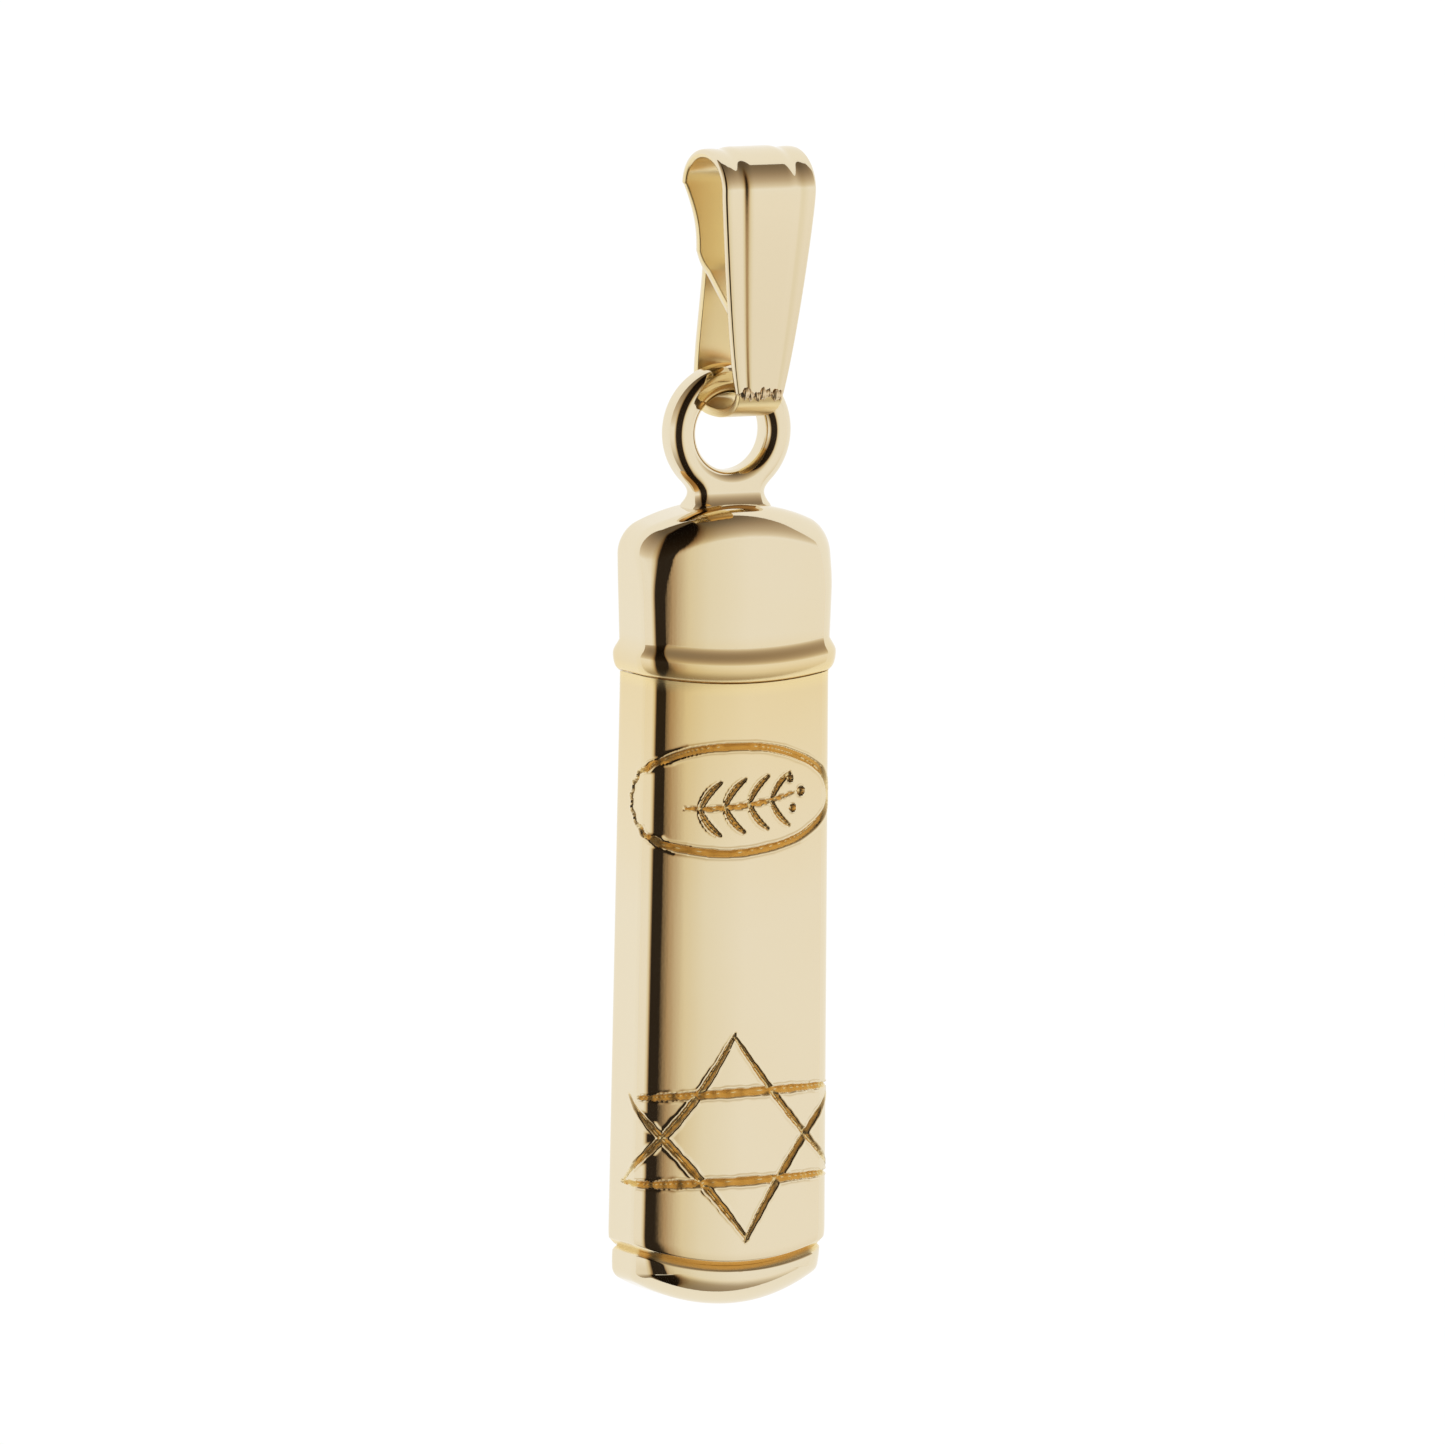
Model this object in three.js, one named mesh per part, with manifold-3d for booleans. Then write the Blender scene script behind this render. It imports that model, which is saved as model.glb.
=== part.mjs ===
// A gold mezuzah case worn as a pendant: a fluted sheet bail, a cast eye on a domed cap, and a flat
// hollow case that pulls out of the cap to reach the rolled parchment inside it.
// Millimetres, +Z up, the engraved front faces -Y. The origin is the chain seat: the inner top of the
// bail's roll.
import * as THREE from "three";
import { mergeVertices } from "three/addons/utils/BufferGeometryUtils.js";
import Module from "manifold-3d";

const wasm = await Module();
wasm.setup();

// ---------------------------------------------------------------- driving dimensions

const CHAIN_SEAT_Y = -0.97; // the chain seat lies this far in front of the case's middle plane
const SOLDER_GAP = 0.03; // between two faces that are soldered together
const SLIDE_GAP = 0.045; // round the collar, where the cap slides over it

const SHEET = 0.2; // thickness of the bail's sheet
const ROLL_HALF_DEPTH = 1.02; // middle of the sheet, round the chain
const ROLL_HALF_HEIGHT = 0.8;
const LEAF_TOP_HALF_WIDTH = 1.17;
const LEAF_FOOT_HALF_WIDTH = 0.58;
const LEAF_FOOT_Y = -1.62;
const LEAF_FOOT_Z = -5.32;
const BACK_LEAF_Y = 0;
const BACK_LEAF_HALF_WIDTH = 0.8;
const STRAP_HALF_WIDTH = 0.5;
const STRAP_BACK_Y = 0.58; // middle of the sheet, behind the eye
const STRAP_TOP_Z = -2.15;

const EYE_Z = -6.36; // centre of the eye's hole
const EYE_HOLE_RADIUS = 0.88;
const EYE_OUTER_RADIUS = 1.55;
const EYE_DEPTH = 0.8;
const NECK_Z = -7.76;
const NECK_HALF_WIDTH = 0.89;

const FRONT_Y = -1.28; // crown of the front
const BACK_Y = 0.82; // flat back
const CROWN_RADIUS = 8; // of the front, seen from above
const FRONT_CORNER_RADIUS = 0.4;
const BACK_CORNER_RADIUS = 0.33;
const FRONT_END_RADIUS = 0.65; // rounding from the front over the top and the foot
const BACK_END_RADIUS = 0.35;
const CAP_TOP_Z = -7.98;
const CAP_HALF_WIDTH = 2.45;
const WAIST_HALF_WIDTH = 2.34; // at the cap's rim
const FOOT_HALF_WIDTH = 2.46;
const CASE_FOOT_Z = -26.29;
const WALL = 0.25;

const RIM_Z = -11.77; // parting line of cap and case at the sides
const RIM_DIP = 0.2; // how much lower the parting line runs at mid-width
const BASE_Z = -24.94; // parting line of case and base at the sides
const BASE_DIP = 0.4;

const COLLAR_WALL = 0.15;
const COLLAR_TOP_Z = -10.1;
const COLLAR_FOOT_Z = -13.3;

const SCROLL_TOP_Z = -11.3;
const SCROLL_FOOT_Z = -25.2;

// ---------------------------------------------------------------- solids

// A closed geometry as a manifold-3d solid.
function solidOf(geometry) {
  const bare = geometry.clone();
  bare.deleteAttribute("normal");
  bare.deleteAttribute("uv");
  const merged = mergeVertices(bare, 1e-5);
  return new wasm.Manifold(
    new wasm.Mesh({
      numProp: 3,
      vertProperties: merged.getAttribute("position").array,
      triVerts: new Uint32Array(merged.index.array),
    }),
  );
}

// A manifold-3d solid as a geometry.
function geometryOf(solid) {
  const mesh = solid.getMesh();
  const geometry = new THREE.BufferGeometry();
  geometry.setAttribute("position", new THREE.BufferAttribute(mesh.vertProperties, 3));
  geometry.setIndex(new THREE.BufferAttribute(mesh.triVerts, 1));
  geometry.computeVertexNormals();
  return geometry;
}

// A shape drawn in (x, z), extruded along Y and centred on y = 0. Its bevel is a quarter round.
function acrossDepth(shape, halfDepth, bevel = 0, curveSegments = 10) {
  const geometry = new THREE.ExtrudeGeometry(shape, {
    depth: 2 * (halfDepth - bevel),
    bevelEnabled: bevel > 0,
    bevelThickness: bevel,
    bevelSize: bevel,
    bevelSegments: 4,
    curveSegments,
  });
  geometry.rotateX(Math.PI / 2);
  geometry.translate(0, halfDepth - bevel, 0);
  return geometry;
}

// A shape drawn in (x, y), extruded up from one height to another.
function upward(shape, fromZ, toZ, curveSegments = 6) {
  const geometry = new THREE.ExtrudeGeometry(shape, {
    depth: toZ - fromZ,
    bevelEnabled: false,
    curveSegments,
  });
  geometry.translate(0, 0, fromZ);
  return geometry;
}

// The closed skin over a list of loops with equal numbers of points. Open lists get a lid at each end.
function loft(loops, closed = false) {
  const count = loops[0].length;
  const points = loops.flat();
  const index = [];
  const bands = closed ? loops.length : loops.length - 1;
  for (let band = 0; band < bands; band++) {
    const near = band * count;
    const far = ((band + 1) % loops.length) * count;
    for (let i = 0; i < count; i++) {
      const next = (i + 1) % count;
      index.push(near + i, near + next, far + next);
      index.push(near + i, far + next, far + i);
    }
  }
  if (!closed) {
    const last = (loops.length - 1) * count;
    for (let i = 1; i < count - 1; i++) {
      index.push(0, i + 1, i);
      index.push(last, last + i, last + i + 1);
    }
  }
  const geometry = new THREE.BufferGeometry().setFromPoints(points);
  geometry.setIndex(index);
  const turnedOut = solidOf(geometry).volume() > 0;
  if (!turnedOut) index.reverse();
  geometry.setIndex(index);
  return geometry;
}

// ---------------------------------------------------------------- bail

// How far the bail's sheet is pressed out at a place across its width, from -1 at one edge to 1 at the other.
function fluteHeight(across) {
  const place = Math.abs(across);
  if (place > 0.95) return -0.03;
  if (place > 0.6) return 0;
  if (place > 0.5) return -0.045;
  return 0.03;
}

const FLUTE_PLACES = [-1, -0.9, -0.63, -0.55, -0.47, 0.47, 0.55, 0.63, 0.9, 1];

// A strip of sheet that follows stations {y, z, halfWidth, flute} down its middle.
function sheetStrip(stations, places) {
  const loops = stations.map((here, i) => {
    const before = stations[Math.max(0, i - 1)];
    const after = stations[Math.min(stations.length - 1, i + 1)];
    const along = new THREE.Vector2(after.y - before.y, after.z - before.z).normalize();
    const out = new THREE.Vector2(along.y, -along.x);
    const at = (across, side) => {
      const lift = (side * SHEET) / 2 + here.flute * fluteHeight(across);
      return new THREE.Vector3(across * here.halfWidth, here.y + out.x * lift, here.z + out.y * lift);
    };
    const outer = places.map((across) => at(across, 1));
    const inner = places.map((across) => at(across, -1)).reverse();
    return [...outer, ...inner];
  });
  return loft(loops);
}

// Points along a 2D curve in (y, z), with the half width and flute blended from start to end. A bulge above 1
// keeps the start's width for longer.
function stationsAlong(curve, steps, start, end, { skipFirst = true, bulge = 1 } = {}) {
  return curve
    .getPoints(steps)
    .slice(skipFirst ? 1 : 0)
    .map((point, i, all) => {
      const share = (i + 1) / all.length;
      return {
        y: point.x,
        z: point.y,
        halfWidth: THREE.MathUtils.lerp(start.halfWidth, end.halfWidth, share ** bulge),
        flute: THREE.MathUtils.lerp(start.flute, end.flute, share),
      };
    });
}

const ROLL_Z = SHEET / 2 - ROLL_HALF_HEIGHT; // centre of the roll
const ROLL_FRONT_Y = CHAIN_SEAT_Y - ROLL_HALF_DEPTH;
const ROLL_BACK_Y = CHAIN_SEAT_Y + ROLL_HALF_DEPTH;

const point = (y, z) => new THREE.Vector2(y, z);

// One strip: a tongue that closes the chain loop, the back leaf, the roll over the chain, and the front leaf.
function bailStrip() {
  const tongue = new THREE.LineCurve(point(LEAF_FOOT_Y + 0.13, -3.93), point(-0.2, -2.76));
  const bend = new THREE.QuadraticBezierCurve(
    point(-0.2, -2.76),
    point(BACK_LEAF_Y, -2.56),
    point(BACK_LEAF_Y, -2.3),
  );
  const back = new THREE.CubicBezierCurve(
    point(BACK_LEAF_Y, -2.3),
    point(BACK_LEAF_Y, -1.75),
    point(ROLL_BACK_Y, -1.35),
    point(ROLL_BACK_Y, ROLL_Z),
  );
  const roll = new THREE.EllipseCurve(CHAIN_SEAT_Y, ROLL_Z, ROLL_HALF_DEPTH, ROLL_HALF_HEIGHT, 0, Math.PI);
  const front = new THREE.LineCurve(point(ROLL_FRONT_Y, ROLL_Z), point(LEAF_FOOT_Y, LEAF_FOOT_Z));
  const plain = (halfWidth) => ({ halfWidth, flute: 0 });
  const fluted = (halfWidth) => ({ halfWidth, flute: 1 });
  const top = fluted(LEAF_TOP_HALF_WIDTH);
  const foot = fluted(LEAF_FOOT_HALF_WIDTH);
  return sheetStrip(
    [
      ...stationsAlong(tongue, 2, plain(0.45), plain(0.6), { skipFirst: false }),
      ...stationsAlong(bend, 3, plain(0.6), fluted(BACK_LEAF_HALF_WIDTH)),
      ...stationsAlong(back, 6, fluted(BACK_LEAF_HALF_WIDTH), top, { bulge: 2.5 }),
      ...stationsAlong(roll, 14, top, top),
      ...stationsAlong(front, 8, top, foot, { bulge: 1.5 }),
    ],
    FLUTE_PLACES,
  );
}

// The strap that closes the bail round the eye: down from the front leaf, through the eye and up the back.
function bailStrap() {
  const startZ = LEAF_FOOT_Z - SOLDER_GAP;
  const down = new THREE.CubicBezierCurve(
    point(LEAF_FOOT_Y, startZ),
    point(LEAF_FOOT_Y + 0.04, -5.72),
    point(-0.95, -5.87),
    point(-0.45, -5.87),
  );
  const up = new THREE.CubicBezierCurve(
    point(-0.45, -5.87),
    point(0.3, -5.87),
    point(STRAP_BACK_Y, -5.78),
    point(STRAP_BACK_Y, -5.3),
  );
  const leg = new THREE.CubicBezierCurve(
    point(STRAP_BACK_Y, -5.3),
    point(STRAP_BACK_Y, -4.3),
    point(BACK_LEAF_Y + SHEET + SOLDER_GAP, -3.1),
    point(BACK_LEAF_Y + SHEET + SOLDER_GAP, STRAP_TOP_Z),
  );
  const wide = { halfWidth: LEAF_FOOT_HALF_WIDTH - 0.02, flute: 0 };
  const narrow = { halfWidth: STRAP_HALF_WIDTH, flute: 0 };
  return sheetStrip(
    [
      ...stationsAlong(down, 7, wide, narrow, { skipFirst: false }),
      ...stationsAlong(up, 9, narrow, narrow),
      ...stationsAlong(leg, 6, narrow, narrow),
    ],
    [-1, 1],
  );
}

// A bar of solder along X with a half-round face, against a sheet at (y, z). Side is -1 in front, 1 behind.
function solderBar(y, z, side, halfHeight, proud, halfWidth) {
  const steps = 6;
  const face = Array.from({ length: steps + 1 }, (_, i) => {
    const angle = Math.PI * (i / steps - 0.5);
    return [y + side * proud * Math.cos(angle), z + halfHeight * Math.sin(angle)];
  });
  const ends = [-halfWidth, halfWidth];
  return loft(ends.map((x) => face.map(([faceY, faceZ]) => new THREE.Vector3(x, faceY, faceZ))));
}

// ---------------------------------------------------------------- case outlines

const SHARPEST = 0.03; // least radius a corner keeps when its outline is moved inwards

// A rounded corner between a straight side and a long arc, both moved inwards by an inset: its centre, its
// radius, and the angle at which the arc hands over to it.
function cornerOf(arcRadius, arcCentre, cornerRadius, halfWidth, sign, inset) {
  const radius = Math.max(cornerRadius - inset, SHARPEST);
  const x = halfWidth - inset - radius;
  const rise = Math.sqrt((arcRadius - inset - radius) ** 2 - x * x);
  return { x, centre: arcCentre + sign * rise, radius, angle: Math.atan2(rise, x) };
}

const TOP_ARC_RADIUS = 5;
const SHOULDER_RADIUS = 0.8;
const BOTTOM_ARC_RADIUS = 4.6;
const FOOT_CORNER_RADIUS = 0.3;

// The whole case's front outline in (x, z), moved inwards by an inset: arched top, slight waist, arched foot.
function caseOutline(inset) {
  const topCentre = CAP_TOP_Z - TOP_ARC_RADIUS;
  const footCentre = CASE_FOOT_Z + BOTTOM_ARC_RADIUS;
  const top = cornerOf(TOP_ARC_RADIUS, topCentre, SHOULDER_RADIUS, CAP_HALF_WIDTH, 1, inset);
  const foot = cornerOf(BOTTOM_ARC_RADIUS, footCentre, FOOT_CORNER_RADIUS, FOOT_HALF_WIDTH, -1, inset);
  const shape = new THREE.Shape();
  shape.moveTo(FOOT_HALF_WIDTH - inset, foot.centre);
  shape.lineTo(WAIST_HALF_WIDTH - inset, RIM_Z);
  shape.absarc(top.x, top.centre, top.radius, 0, top.angle);
  shape.absarc(0, topCentre, TOP_ARC_RADIUS - inset, top.angle, Math.PI - top.angle);
  shape.absarc(-top.x, top.centre, top.radius, Math.PI - top.angle, Math.PI);
  shape.lineTo(-WAIST_HALF_WIDTH + inset, RIM_Z);
  shape.absarc(-foot.x, foot.centre, foot.radius, Math.PI, Math.PI + foot.angle);
  shape.absarc(0, footCentre, BOTTOM_ARC_RADIUS - inset, Math.PI + foot.angle, 2 * Math.PI - foot.angle);
  shape.absarc(foot.x, foot.centre, foot.radius, -foot.angle, 0);
  return shape;
}

// The case's plan section in (x, y), moved inwards by an inset: crowned front, flat back, rounded corners.
function planSection(halfWidth, inset) {
  const crownCentre = FRONT_Y + CROWN_RADIUS;
  const front = cornerOf(CROWN_RADIUS, crownCentre, FRONT_CORNER_RADIUS, halfWidth, -1, inset);
  const backRadius = Math.max(BACK_CORNER_RADIUS - inset, SHARPEST);
  const backX = halfWidth - inset - backRadius;
  const backY = BACK_Y - inset - backRadius;
  const shape = new THREE.Shape();
  shape.absarc(backX, backY, backRadius, 0, Math.PI / 2);
  shape.absarc(-backX, backY, backRadius, Math.PI / 2, Math.PI);
  shape.absarc(-front.x, front.centre, front.radius, Math.PI, Math.PI + front.angle);
  shape.absarc(0, crownCentre, CROWN_RADIUS - inset, Math.PI + front.angle, 2 * Math.PI - front.angle);
  shape.absarc(front.x, front.centre, front.radius, -front.angle, 0);
  shape.closePath();
  return shape;
}

const WIDEST = FOOT_HALF_WIDTH;
const DEEP = 3; // past the case's front and back

// The case's solid form, moved inwards by an inset on every side.
function caseForm(inset) {
  const frontEnd = Math.max(FRONT_END_RADIUS - inset, SHARPEST);
  const backEnd = Math.max(BACK_END_RADIUS - inset, SHARPEST);
  const frontDepth = DEEP - FRONT_Y - inset;
  const backDepth = DEEP + BACK_Y - inset;
  const roundedInFront = acrossDepth(caseOutline(inset + frontEnd), frontDepth / 2, frontEnd, 5);
  roundedInFront.translate(0, (DEEP + FRONT_Y + inset) / 2, 0);
  const roundedBehind = acrossDepth(caseOutline(inset + backEnd), backDepth / 2, backEnd, 5);
  roundedBehind.translate(0, (BACK_Y - inset - DEEP) / 2, 0);
  const plan = upward(planSection(WIDEST, inset), CASE_FOOT_Z - 1, CAP_TOP_Z + 1, 8);
  return solidOf(roundedInFront).intersect(solidOf(roundedBehind)).intersect(solidOf(plan));
}

// Height of a parting line at x: it runs level at the sides and dips in the middle.
function partingZ(x, sideZ, dip) {
  return sideZ - dip * (1 - (x / CAP_HALF_WIDTH) ** 2);
}

const BEYOND = 3; // half width of a cutting block, past every side of the case
const FAR_DOWN = -30;

// Everything below a parting line, as a block.
function belowLine(sideZ, dip) {
  const end = partingZ(BEYOND, sideZ, dip);
  const shape = new THREE.Shape();
  shape.moveTo(-BEYOND, FAR_DOWN);
  shape.lineTo(BEYOND, FAR_DOWN);
  shape.lineTo(BEYOND, end);
  // A quadratic curve with this control point is the parting line's own parabola.
  shape.quadraticCurveTo(0, 2 * partingZ(0, sideZ, dip) - end, -BEYOND, end);
  shape.closePath();
  return solidOf(acrossDepth(shape, BEYOND, 0, 14));
}

// A ring round the case that follows a parting line. Its section is a list of [outwards, upwards] points.
function ringRound(halfWidth, section, sideZ, dip) {
  const plan = planSection(halfWidth, 0).getPoints(7);
  const corners = plan.filter((place, i) => place.distanceTo(plan[(i + 1) % plan.length]) > 1e-4);
  const path = corners.flatMap((here, i) => {
    // Stops across a long straight side keep the ring on the curved parting line.
    const next = corners[(i + 1) % corners.length];
    const steps = Math.ceil(here.distanceTo(next) / 0.8);
    return Array.from({ length: steps }, (_, k) => here.clone().lerp(next, k / steps));
  });
  const loops = path.map((here, i) => {
    const before = path[(i + path.length - 1) % path.length];
    const after = path[(i + 1) % path.length];
    const out = new THREE.Vector2(after.y - before.y, before.x - after.x).normalize();
    return section.map(
      ([reach, up]) =>
        new THREE.Vector3(here.x + out.x * reach, here.y + out.y * reach, partingZ(here.x, sideZ, dip) + up),
    );
  });
  return loft(loops, true);
}

// ---------------------------------------------------------------- engraving

const CUT_DEPTH = 0.07;
const CUT_HALF_WIDTH = 0.09;

// Where the crowned front lies at x.
function frontY(x) {
  return FRONT_Y + CROWN_RADIUS - Math.sqrt(CROWN_RADIUS ** 2 - x * x);
}

// A closed V-shaped tool whose edge runs through [x, z] places on the front, with its half width at each.
function cutAlong(places, closed = false) {
  const loops = places.map(([x, z, halfWidth], i) => {
    const last = places.length - 1;
    const before = places[closed ? (i + last) % places.length : Math.max(0, i - 1)];
    const after = places[closed ? (i + 1) % places.length : Math.min(last, i + 1)];
    const across = new THREE.Vector2(after[1] - before[1], before[0] - after[0]).normalize();
    const y = frontY(x);
    const at = (side, depth) =>
      new THREE.Vector3(x + 2 * side * halfWidth * across.x, y + depth, z + 2 * side * halfWidth * across.y);
    const depth = CUT_DEPTH * (halfWidth / CUT_HALF_WIDTH);
    return [at(-1, -depth), at(0, depth), at(1, -depth)];
  });
  return solidOf(loft(loops, closed));
}

// A straight cut from one [x, z] to another, deepest in the middle.
function engravedLine([fromX, fromZ], [toX, toZ], halfWidth = CUT_HALF_WIDTH) {
  const steps = 8;
  const places = Array.from({ length: steps + 1 }, (_, i) => {
    const share = i / steps;
    const taper = 0.45 + 0.55 * Math.sin(Math.PI * share);
    return [fromX + (toX - fromX) * share, fromZ + (toZ - fromZ) * share, halfWidth * taper];
  });
  return cutAlong(places);
}

const STAR_Z = -22.46;
const STAR_HALF_HEIGHT = 2.34;
const STAR_HALF_WIDTH = 2;

// The six cuts of a hexagram: two triangles, one pointing up and one down.
function starCuts() {
  return [1, -1].flatMap((up) => {
    const apex = [0, STAR_Z + up * STAR_HALF_HEIGHT];
    const left = [-STAR_HALF_WIDTH, STAR_Z - up * STAR_HALF_HEIGHT * 0.44];
    const right = [STAR_HALF_WIDTH, STAR_Z - up * STAR_HALF_HEIGHT * 0.44];
    return [engravedLine(apex, left), engravedLine(left, right), engravedLine(right, apex)];
  });
}

const OVAL_Z = -14.77;
const OVAL_HALF_WIDTH = 2.0;
const OVAL_HALF_HEIGHT = 1.27;

// The cut of an oval frame.
function ovalCut() {
  const steps = 32;
  const places = Array.from({ length: steps }, (_, i) => {
    const angle = (2 * Math.PI * i) / steps;
    return [OVAL_HALF_WIDTH * Math.cos(angle), OVAL_Z + OVAL_HALF_HEIGHT * Math.sin(angle), CUT_HALF_WIDTH];
  });
  return cutAlong(places, true);
}

const SPRIG_HALF_WIDTH = 1.15;

// A plain sprig inside the oval: a stem, leaves to each side of it and a berry at its tip.
function sprigCuts() {
  const stem = engravedLine([-SPRIG_HALF_WIDTH, OVAL_Z - 0.1], [SPRIG_HALF_WIDTH * 0.8, OVAL_Z + 0.05], 0.06);
  const leaves = [-0.75, -0.25, 0.25].flatMap((x) => [
    engravedLine([x, OVAL_Z - 0.02], [x + 0.38, OVAL_Z + 0.55], 0.07),
    engravedLine([x + 0.1, OVAL_Z - 0.08], [x + 0.48, OVAL_Z - 0.6], 0.07),
  ]);
  const berry = new THREE.SphereGeometry(0.13, 10, 8);
  berry.translate(SPRIG_HALF_WIDTH, frontY(SPRIG_HALF_WIDTH) - 0.04, OVAL_Z + 0.08);
  return [stem, ...leaves, solidOf(berry)];
}

// ---------------------------------------------------------------- eye, cap, case and base

// The cast eye: a ring on a neck that flares out to sit on the cap's top.
function suspensionEye() {
  const bevel = 0.24;
  const outer = EYE_OUTER_RADIUS - bevel;
  const turn = THREE.MathUtils.degToRad(48); // how far below level the ring hands over to the neck
  const shape = new THREE.Shape();
  shape.absarc(0, EYE_Z, outer, -turn, Math.PI + turn);
  shape.quadraticCurveTo(-NECK_HALF_WIDTH + bevel, NECK_Z + 0.12, -NECK_HALF_WIDTH + bevel, NECK_Z);
  shape.quadraticCurveTo(-NECK_HALF_WIDTH + bevel, NECK_Z - 0.3, -NECK_HALF_WIDTH - 0.2, NECK_Z - 0.42);
  shape.lineTo(NECK_HALF_WIDTH + 0.2, NECK_Z - 0.42);
  shape.quadraticCurveTo(NECK_HALF_WIDTH - bevel, NECK_Z - 0.3, NECK_HALF_WIDTH - bevel, NECK_Z);
  shape.quadraticCurveTo(
    NECK_HALF_WIDTH - bevel,
    NECK_Z + 0.12,
    outer * Math.cos(turn),
    EYE_Z - outer * Math.sin(turn),
  );
  const hole = new THREE.Path();
  hole.absarc(0, EYE_Z, EYE_HOLE_RADIUS + bevel, 0, 2 * Math.PI);
  shape.holes.push(hole);
  const body = solidOf(acrossDepth(shape, EYE_DEPTH / 2, bevel, 12));
  return geometryOf(body.subtract(caseForm(-SOLDER_GAP)));
}

const outerForm = caseForm(0);
const cavity = caseForm(WALL);
const belowRim = belowLine(RIM_Z, RIM_DIP);
const belowRimGap = belowLine(RIM_Z - SOLDER_GAP, RIM_DIP);
const belowBase = belowLine(BASE_Z, BASE_DIP);
const belowBaseGap = belowLine(BASE_Z - SOLDER_GAP, BASE_DIP);

// The V that is filed round the joint of case and base.
const baseGroove = solidOf(
  ringRound(
    FOOT_HALF_WIDTH,
    [
      [0.1, 0.2],
      [0.1, -0.22],
      [-0.13, 0],
    ],
    BASE_Z - SOLDER_GAP / 2,
    BASE_DIP,
  ),
);

// The domed cap, drawn from sheet, open at its rim.
function capShell() {
  return geometryOf(outerForm.subtract(belowRim).subtract(cavity));
}

// The half-round bead soldered round the cap's rim.
function capRimBead() {
  const section = [];
  const steps = 8;
  const halfHeight = 0.35;
  const proud = 0.16;
  for (let i = 0; i <= steps; i++) {
    const angle = Math.PI * (i / steps - 0.5);
    section.push([SOLDER_GAP + proud * Math.cos(angle), halfHeight * Math.sin(angle)]);
  }
  return ringRound(WAIST_HALF_WIDTH + 0.02, section, RIM_Z + halfHeight + SOLDER_GAP, RIM_DIP);
}

// The case's wall between cap and base, before it is split into its two struck shells.
const caseWall = belowRimGap.intersect(outerForm).subtract(belowBase).subtract(cavity).subtract(baseGroove);

// Half of space in front of the seam (side -1) or behind it (side 1).
function halfSpace(side) {
  const block = new THREE.BoxGeometry(2 * BEYOND, BEYOND, 40);
  block.translate(0, side * (BEYOND / 2 + SOLDER_GAP / 2), -15);
  return solidOf(block);
}

const SLIVER = 0.002; // the least feature kept where engraved cuts meet

function caseFrontShell() {
  const cuts = [...starCuts(), ovalCut(), ...sprigCuts()];
  const shell = cuts.reduce((left, cut) => left.subtract(cut), caseWall.intersect(halfSpace(-1)));
  return geometryOf(shell.simplify(SLIVER));
}

function caseBackShell() {
  return geometryOf(caseWall.intersect(halfSpace(1)));
}

// A short tube that fits inside the case's wall.
function liner(halfWidth, fromZ, toZ) {
  const fit = WALL + SLIDE_GAP;
  const shape = planSection(halfWidth, fit);
  shape.holes.push(planSection(halfWidth, fit + COLLAR_WALL));
  return upward(shape, fromZ, toZ);
}

// The collar soldered in the case's mouth, which the cap slides over.
function innerCollar() {
  return liner(WAIST_HALF_WIDTH, COLLAR_FOOT_Z, COLLAR_TOP_Z);
}

const SPIGOT_TOP_Z = BASE_Z + 0.75;

// The base: a shallow dish with a spigot that goes up inside the case.
function baseCap() {
  const dish = outerForm.intersect(belowBaseGap).subtract(baseGroove).subtract(cavity);
  const tube = solidOf(liner(FOOT_HALF_WIDTH - 0.03, CASE_FOOT_Z, SPIGOT_TOP_Z));
  const spigot = tube.intersect(caseForm(WALL * 0.8));
  return geometryOf(dish.add(spigot));
}

// ---------------------------------------------------------------- scroll

const SCROLL_HALF_WIDTH = 1.35;
const SCROLL_HALF_DEPTH = 0.5;
const PARCHMENT = 0.05;
const TURNS = 3;
const TURN_STEP = 0.13; // from one turn's middle to the next

// Parchment rolled into a flat spiral that fits the case.
function parchmentScroll() {
  const perTurn = 20;
  const steps = TURNS * perTurn;
  const edge = (side) => {
    const points = [];
    for (let i = 0; i <= steps; i++) {
      const angle = (2 * Math.PI * i) / perTurn;
      const inward = (TURN_STEP * i) / perTurn + (side > 0 ? 0 : PARCHMENT);
      points.push(
        new THREE.Vector2(
          Math.cos(angle) * (SCROLL_HALF_WIDTH - inward),
          Math.sin(angle) * (SCROLL_HALF_DEPTH - inward),
        ),
      );
    }
    return points;
  };
  const spiral = new THREE.Shape([...edge(1), ...edge(-1).reverse()]);
  const roll = upward(spiral, SCROLL_FOOT_Z, SCROLL_TOP_Z);
  roll.translate(0, (FRONT_Y + BACK_Y) / 2, 0);
  return roll;
}

// ---------------------------------------------------------------- materials and assembly

const polishedGold = { color: 0xe6cf9c, roughness: 0.12, metalness: 1 };
const plainGold = { color: 0xd9bd80, roughness: 0.3, metalness: 1 };
const solderGold = { color: 0xc9a870, roughness: 0.35, metalness: 1 };
const parchment = { color: 0xe9dcc0, roughness: 0.85, metalness: 0 };

const leafFrontY = LEAF_FOOT_Y - SHEET / 2 - 2 * SOLDER_GAP;
const backSolderY = BACK_LEAF_Y + SHEET / 2 + SOLDER_GAP;
const backSolderZ = STRAP_TOP_Z + 0.12;

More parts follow.
